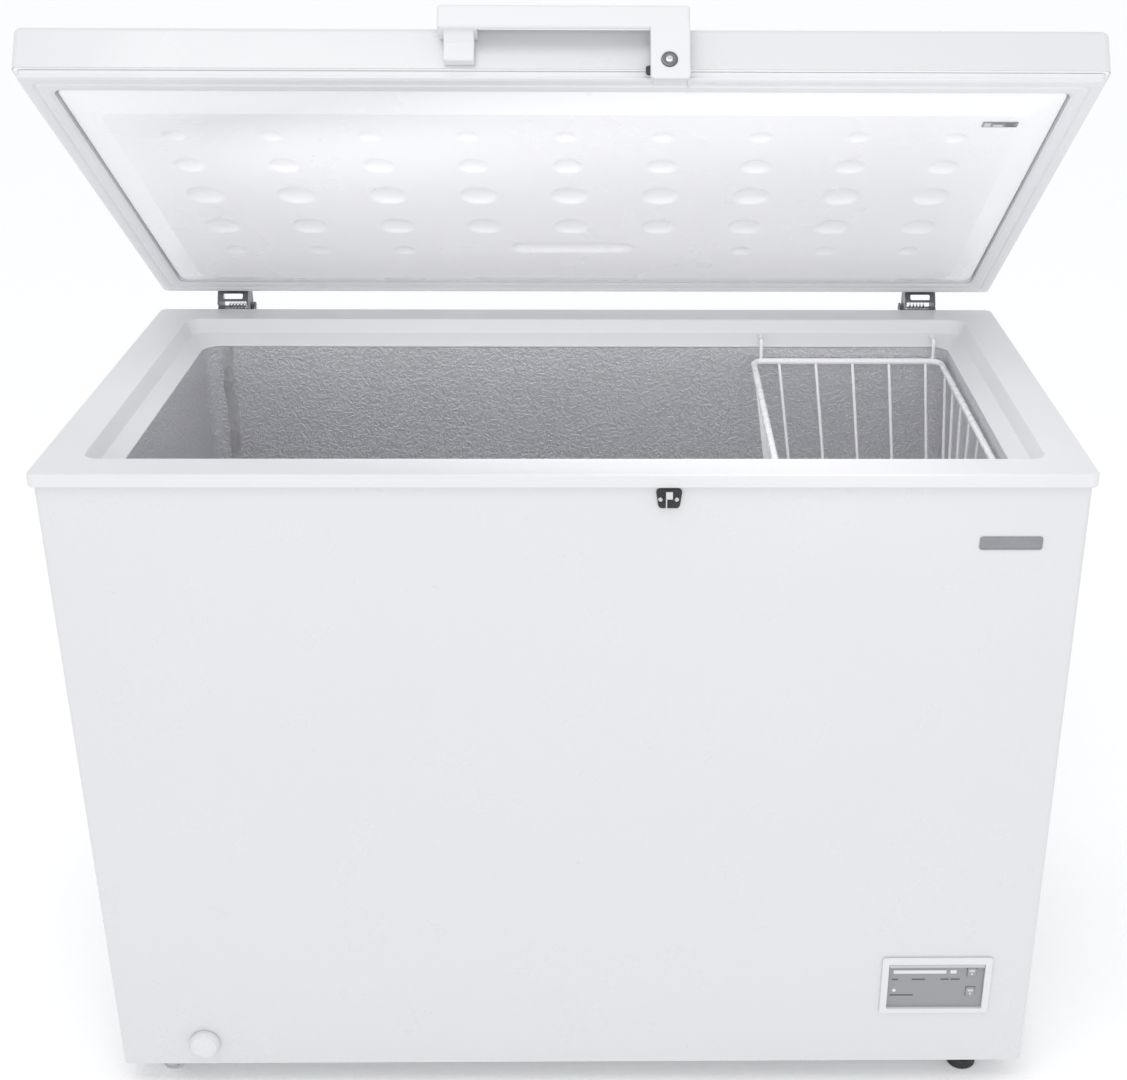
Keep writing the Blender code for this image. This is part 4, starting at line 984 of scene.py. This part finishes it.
def make_gasket():
    """A soft extrusion with two folds, clipped into the liner's rim."""
    section = flat_fillet([
        (-0.0010, 0.0014), (0.0030, 0.0003), (0.0105, 0.0003), (0.0130, 0.0016), (0.0160, 0.0003),
        (0.0235, 0.0003), (0.0275, 0.0016), (0.0262, 0.0046), (0.0275, 0.0090), (-0.0010, 0.0090),
        (0.0004, 0.0048),
    ], 0.0008, 3, closed=True)
    radii = [0.006 + 0.004 * (inset + 0.001) / 0.0285 for inset, _ in section]
    loops = [outline_loop(inset, RIM_Z + z, r) for (inset, z), r in zip(section, radii)]
    placed(loft("seal_strip", loops, ring=True), "gasket_rubber", "lid_gasket", body="lid")


DATA_PLATE_X = (0.434, 0.471)
DATA_BLOCKS = {  # x and y ranges of the raised blocks, y from the plate's middle
    "light": ((0.436, 0.4425, -0.0040, 0.0040), (0.4455, 0.4555, -0.0010, 0.0040)),
    "dark": (
        (0.4455, 0.4555, -0.0032, -0.0022), (0.458, 0.469, 0.0018, 0.0032),
        (0.458, 0.466, -0.0008, 0.0002), (0.458, 0.468, -0.0034, -0.0024),
    ),
}


def make_data_plate():
    """A small plate with blocks in the place of print."""
    top, y = RIM_Z + LINER_FLAT - GAP, LID_FRONT + 0.0865
    (x0, x1), half = DATA_PLATE_X, 0.0055
    plate = box("data_plate", (x0, y - half, top - 0.0006), (x1, y + half, top), 0.0002, 2)
    placed(plate, "fascia", "lid_data_plate", body="lid", slot="grey_plastic")
    for tone, spots in DATA_BLOCKS.items():
        blocks = [
            box(f"data_{tone}_{k}", (x0, y + y0, top - 0.0008), (x1, y + y1, top - 0.0005))
            for k, (x0, x1, y0, y1) in enumerate(spots)
        ]
        placed(merged(f"data_{tone}", blocks), f"print_{tone}", body="lid", slot="grey_plastic")


HANDLE_X = (-0.124, 0.125)
HANDLE_Z = (0.039, 0.064)
HANDLE_OUT = 0.028
HANDLE_WALL = 0.004
LEG_X = (0.086, 0.125)
LEG_DROP = 0.015
STRUT_X = (-0.118, -0.088)


def make_handle():
    """The moulded bar over a finger pocket, its strut and the leg that holds the lock."""
    z0, z1 = (RIM_Z + z for z in HANDLE_Z)
    near, far = LID_FRONT - GAP, LID_FRONT - HANDLE_OUT
    behind, below, wall = near + CUT, RIM_Z - 0.03, HANDLE_WALL
    bar = box("handle_moulding", (HANDLE_X[0], far, z0), (HANDLE_X[1], near, z1), 0.0035, 5)
    leg_outline = rectangle(LEG_X, (RIM_Z - LEG_DROP, z0 + 0.008), 0.004, 6)
    leg = slab("handle_leg", leg_outline, 1, far, LID_FRONT - 0.002, 0.0018, 4)
    shin, strut_low, strut_high = LID_FRONT - 0.012, RIM_Z + 0.012, z0 + 0.004
    strut = slab("handle_strut", flat_fillet([
        (near, strut_low), (shin, strut_low), (shin, RIM_Z + 0.030), (LID_FRONT - 0.024, strut_high),
        (near, strut_high),
    ], 0.0025, 5, closed=True), 0, *STRUT_X, 0.001, 3)
    bar = carved(bar, leg, strut, operation="UNION")
    leg_left, leg_right = LEG_X
    bar = carved(
        bar,
        box("finger_pocket", (-0.085, far + wall, z0 - 0.02), (0.0855, behind, z1 - wall), 0.003, 4),
        box("lock_space", (leg_left + 0.003, far + wall, below), (leg_right - 0.003, behind, z0 - wall)),
        box("cam_slot", (leg_left - CUT, far + 0.014, below), (leg_left + CUT, behind, RIM_Z + 0.016)),
        drill("barrel_hole", LOCK_R + GAP, 0.05, LOCK, FORWARD, 48),
    )
    placed(softened(bar, 0.0007, 3, 50), "white_plastic", "lid_handle", body="lid")


def keyway(name, half_x, half_z, depth):
    """A cutter for a key slot in the lock's face, down to a depth from the lid's front."""
    return box(name, LOCK - Vector((half_x, 0.035, half_z)), LOCK + Vector((half_x, -depth, half_z)))


def make_lock():
    """A round barrel with its keyway, and the cam on its end."""
    neck = 0.004
    profile = flat_fillet([
        (0, 0.0290), (0.0056, 0.0290), (0.0062, 0.0295), (LOCK_R, 0.0292), (LOCK_R, 0.0095),
        (neck, 0.0095), (neck, 0.0035), (0, 0.0035),
    ], 0.0005, 4)
    barrel = turned("lock_cylinder", profile, LOCK, FORWARD, 56)
    barrel = carved(barrel, keyway("keyway", 0.0042, 0.0008, 0.0245))
    placed(barrel, "lock_steel", "lock_barrel", body="lock", slot="bright_steel")
    profile = [(0, 0.0294), (0.0026, 0.0294), (0.0034, 0.0291), (0.0034, 0.0280), (0, 0.0280)]
    core = carved(turned("lock_core", profile, LOCK, FORWARD, 40), keyway("core_key", 0.0021, 0.0006, 0.0285))
    placed(core, "bright_steel", body="lock")
    near = LID_FRONT - 0.0045
    x, z = LOCK.x, LOCK.z
    tail, shoulder, tip = x + 0.0075, x - 0.014, x - 0.023
    outline = flat_fillet([
        (tail, z + 0.0060), (shoulder, z + 0.0060), (tip, z + 0.0040), (tip, z - 0.0040),
        (shoulder, z - 0.0060), (tail, z - 0.0060),
    ], 0.002, 5, closed=True)
    cam = slab("lock_tongue", outline, 1, near - 0.0025, near, 0.0003)
    cam = carved(cam, drill("cam_hole", neck + GAP, 0.05, LOCK, FORWARD))
    placed(cam, "black_steel", "lock_cam", body="lock")


# ---- hinges

HINGE_X = 0.454
EAR_R = 0.008
EAR_T = 0.002
PLATE_T = 0.002
HINGE_SCREW_R = 0.0032
BASE_SCREWS = ((-0.013, 0.724), (0.013, 0.724), (-0.013, 0.750), (0.013, 0.750))
ARM_SCREWS = ((-0.010, 0), (0.010, 0), (-0.010, 0.016), (0.010, 0.016))
SPRING_TURNS, SPRING_STEPS, SPRING_R = 5, 28, 0.0065


def ear_outline(root, low_z, high_z):
    """A plate from a straight root to a rounded end about the pin, as (y, z) pairs."""
    turn = math.atan2(high_z - HINGE.z, root - HINGE.y)
    first, last = turn - math.pi / 2, turn - 3 * math.pi / 2 + 0.5
    steps = 24
    turns = [first + (last - first) * k / steps for k in range(steps + 1)]
    arc = [(HINGE.y + EAR_R * math.cos(a), HINGE.z + EAR_R * math.sin(a)) for a in turns]
    return [(root, low_z), (root, high_z), *arc]


def hinge_leaf(name, plate, depth, ear, x0, ears_x, *cutters):
    """A screwed plate with two ears about the pin, cut and eased."""
    leaf = slab(name, plate, 1, *depth, 0.0003)
    ears = [slab(f"ear_{i}", ear, 0, x0 + x, x0 + x + EAR_T) for i, x in enumerate(ears_x)]
    leaf = carved(leaf, *ears, operation="UNION")
    bore = drill("bore", 0.0038, 0.04, (x0, HINGE.y, HINGE.z), SIDEWAYS)
    return softened(carved(leaf, bore, *cutters), 0.0003)


def make_hinges():
    for side, x0 in (("left", -HINGE_X), ("right", HINGE_X)):
        centre = Vector((x0, HINGE.y, HINGE.z))
        low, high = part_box(f"hinge_base_{side}")
        plate = rectangle((x0 - 0.026, x0 + 0.026), (low.z, CASE_TOP - 0.002), 0.004)
        face = REAR + 0.0023
        ear = ear_outline(REAR + 0.001, 0.725, 0.777)
        base = hinge_leaf(f"base_plate_{side}", plate, (REAR + GAP, face), ear, x0, (-0.024, 0.022))
        placed(base, "hinge_steel", f"hinge_base_{side}")
        screws(f"base_screws_{side}", [(x0 + dx, face, z) for dx, z in BASE_SCREWS], HINGE_SCREW_R)

        web_y = LID_REAR + GAP
        face = web_y + PLATE_T
        plate = rectangle((x0 - 0.020, x0 + 0.020), (HINGE.z - 0.003, RIM_Z + 0.050), 0.0025)
        ear = ear_outline(web_y + 0.001, HINGE.z - 0.007, RIM_Z + 0.040)
        window_low = (x0 - 0.013, web_y - CUT, HINGE.z)
        window = box("window", window_low, (x0 + 0.013, web_y + CUT, HINGE.z + 0.008), 0.002)
        arm = hinge_leaf(f"arm_plate_{side}", plate, (web_y, face), ear, x0, (-0.020, 0.018), window)
        placed(arm, "hinge_steel", f"hinge_arm_{side}", body="lid")
        places = [(x0 + dx, face, RIM_Z + 0.026 + dz) for dx, dz in ARM_SCREWS]
        screws(f"arm_screws_{side}", places, HINGE_SCREW_R, "lid")

        half, r, tip, chamfer = 0.0255, 0.0035, 0.0028, 0.0006
        pin = [(0, half), (tip, half), (r, half - chamfer), (r, chamfer - half), (tip, -half), (0, -half)]
        rod = turned(f"pin_{side}", pin, centre, SIDEWAYS, 32)
        placed(rod, "bright_steel", f"hinge_pin_{side}")
        count = SPRING_TURNS * SPRING_STEPS
        points = []
        for k in range(count + 1):
            a = 2 * math.pi * k / SPRING_STEPS
            across = 0.022 * k / count - 0.011
            points.append(centre + Vector((across, -SPRING_R * math.sin(a), -SPRING_R * math.cos(a))))
        points.append(Vector((x0 + 0.0125, REAR + 0.0045, 0.765)))
        placed(tube(f"coil_{side}", points, 0.001), "bright_steel", f"hinge_spring_{side}")


# ---- basket

BASKET_X = (0.228, 0.470)
BASKET_Y = (FRONT + 0.075, FRONT + 0.497)
BASKET_Z = (0.560, 0.755)
BASKET_TAPER = (0.024, 0.090)
HOOK_OUT = 0.021
HOOK_Z = 0.7822
WIRE_R = 0.002
HOOK_R = 0.0022


def basket_ring(depth, z, inset):
    """The basket's outline at a share of its depth; it narrows to the front, rear and left."""
    (x0, x1), (y0, y1) = BASKET_X, BASKET_Y
    taper_x, taper_y = (taper * depth for taper in BASKET_TAPER)
    low, high = (x0 + taper_x + inset, y0 + taper_y + inset), (x1 - inset, y1 - taper_y - inset)
    corners = [(high[0], high[1], z), (low[0], high[1], z), (low[0], low[1], z), (high[0], low[1], z)]
    return filleted(corners, 0.014, 6, closed=True)


def make_basket():
    (x0, x1), (y0, y1), (z0, z1) = BASKET_X, BASKET_Y, BASKET_Z
    taper_x, taper_y = BASKET_TAPER
    r, bend = WIRE_R, 0.012
    wires = [
        tube("rail", basket_ring(0, z1, 0), 0.004, 16, closed=True),
        tube("foot_ring", basket_ring(1, z0 + r, r), r * 1.1, closed=True),
    ]
    floor = z0 + 2 * r
    for k in range(5):
        t = (k + 0.7) / 5.1
        top_x = x0 + t * (x1 - x0)
        low_x = x0 + taper_x + t * (x1 - x0 - taper_x)
        run = [(top_x, y0, z1), (low_x, y0 + taper_y, floor), (low_x, y1 - taper_y, floor), (top_x, y1, z1)]
        wires.append(tube(f"long_{k}", filleted(run, bend, 6), r))
    floor -= r
    for k in range(7):
        t = (k + 0.7) / 7.4
        top_y = y0 + t * (y1 - y0)
        low_y = y0 + taper_y + t * (y1 - y0 - 2 * taper_y)
        run = [(x0, top_y, z1), (x0 + taper_x, low_y, floor), (x1 - r, low_y, floor), (x1, top_y, z1)]
        wires.append(tube(f"cross_{k}", filleted(run, bend, 6), r))
    for inner in (x0 + 0.010, x1 - 0.010):
        for y, tip in ((y0, y0 - HOOK_OUT), (y1, y1 + HOOK_OUT)):
            run = [(inner, y, z1 - 0.001), (inner, y, HOOK_Z), (inner, tip, HOOK_Z)]
            wires.append(tube(f"hook_{len(wires)}", filleted(run, 0.004, 6), HOOK_R))
    placed(merged("basket_wires", wires), "coated_wire", "wire_basket", body="basket")


# ---- kept CAD pieces

KEPT = {
    "galvanised_steel": (
        "bottom_panel", "compressor_tray", "compartment_divider", "evaporator_coil", "condenser_coil",
        "roller_bracket_front", "roller_bracket_rear",
    ),
    "foam": ("cabinet_foam",),
    "black_steel": ("compressor_base",),
    "black_rubber": tuple(f"compressor_grommet_{i}" for i in (1, 2, 3, 4)),
    "black_plastic": ("start_relay",),
    "copper": ("suction_tube", "discharge_tube", "filter_drier"),
    "white_plastic": ("drain_tube",),
}
SHARP_EDGED = (
    "compressor_tray", "compressor_base", "start_relay", "roller_bracket_front", "roller_bracket_rear",
    "bottom_panel",
)


def keep_nodes():
    """Procedural looks, and eased edges, for the CAD pieces that stay in view."""
    for look, nodes in KEPT.items():
        for node in nodes:
            obj = bpy.data.objects[node]
            obj.data.materials.clear()
            obj.data.materials.append(LOOKS[look])
            if node in SHARP_EDGED:
                ease = obj.modifiers.new("eased_edges", "BEVEL")
                ease.width = 0.0004
                ease.segments = 2
                ease.limit_method = "ANGLE"


# ---- surroundings


def make_floor():
    look = Look("studio_floor", (0.93, 0.93, 0.93), 0.7, Emission_Color=(1, 1, 1, 1), Emission_Strength=0.13)
    look.tint(look.noise(0.4, 3), 0.004)
    look.bump(look.noise(60, 3), 0.0004)
    spots = (-60.0, -2.0, 2.0, 60.0)
    sheet = sheet_rows([[(x, y, 0) for x in spots] for y in spots])
    floor = mesh_object("studio_floor", sheet, facing=UPWARD)
    floor.data.materials.append(look.material)


WHITE = (1.0, 1.0, 1.0)
WORLD_COLOUR, WORLD_STRENGTH = (0.97, 0.98, 1.0), 0.93
LAMPS = (  # name, place, aim, size, power in watts, colour
    ("key", (-0.3, -1.35, 2.9), (0, -0.2, 0.8), (1.6, 0.8), 9.5, (1.0, 0.99, 0.98)),
    ("fill", (0.2, -3.4, 1.7), (0, 0, 0.75), (2.4, 1.0), 17, WHITE),
    ("lid_bounce", (0.0, 0.03, 0.79), (0, 0.13, 1.0), (0.9, 0.2), 0.28, WHITE),
    ("rear_bounce", (0.0, -0.27, 0.98), (0.15, 0.3, 0.72), (0.8, 0.1), 0.6, WHITE),
)


def make_lights():
    """A pale world and four soft lamps; only the key shows in gloss."""
    world = bpy.data.worlds.new("studio")
    world.use_nodes = True
    background = world.node_tree.nodes["Background"]
    background.inputs["Color"].default_value = (*WORLD_COLOUR, 1)
    background.inputs["Strength"].default_value = WORLD_STRENGTH
    bpy.context.scene.world = world
    for name, place, aim, size, power, colour in LAMPS:
        lamp = bpy.data.lights.new(name, "AREA")
        lamp.shape = "RECTANGLE"
        lamp.size, lamp.size_y = size
        lamp.energy = power
        lamp.color = colour
        obj = linked(name, lamp)
        obj.location = place
        obj.rotation_euler = (Vector(aim) - Vector(place)).to_track_quat("-Z", "Y").to_euler()
        obj.visible_camera = False
        obj.visible_glossy = name == "key"


CAMERA_PLACE = (0.0551, -1.9323, 1.4566)
# Heading, dip and roll, after the turn that levels the view
CAMERA_TURNS = ((-0.0158, "Z"), (-0.4453, "X"), (-0.0061, "Y"), (math.pi / 2, "X"))
FOCAL_MM, SENSOR_MM = 54.99, 36
SHIFT = (-0.0714, 0.0357)


def make_camera():
    data = bpy.data.cameras.new("camera")
    data.lens, data.sensor_width = FOCAL_MM, SENSOR_MM
    data.shift_x, data.shift_y = SHIFT
    data.clip_end = 200
    camera = linked("camera", data)
    place = Matrix.Translation(CAMERA_PLACE)
    for angle, axis in CAMERA_TURNS:
        place = place @ Matrix.Rotation(angle, 4, axis)
    camera.matrix_world = place
    bpy.context.scene.camera = camera


for make in (
    make_case, make_back, make_collar, make_tank, make_covers, make_compressor, make_drain, make_panel,
    make_keeper, make_badge, make_feet, make_lid_skin, make_lid_foam, make_liner, make_gasket,
    make_data_plate, make_handle, make_lock, make_hinges, make_basket, keep_nodes, make_floor,
    make_lights, make_camera,
):
    make()
bpy.context.scene.view_settings.view_transform = "Standard"
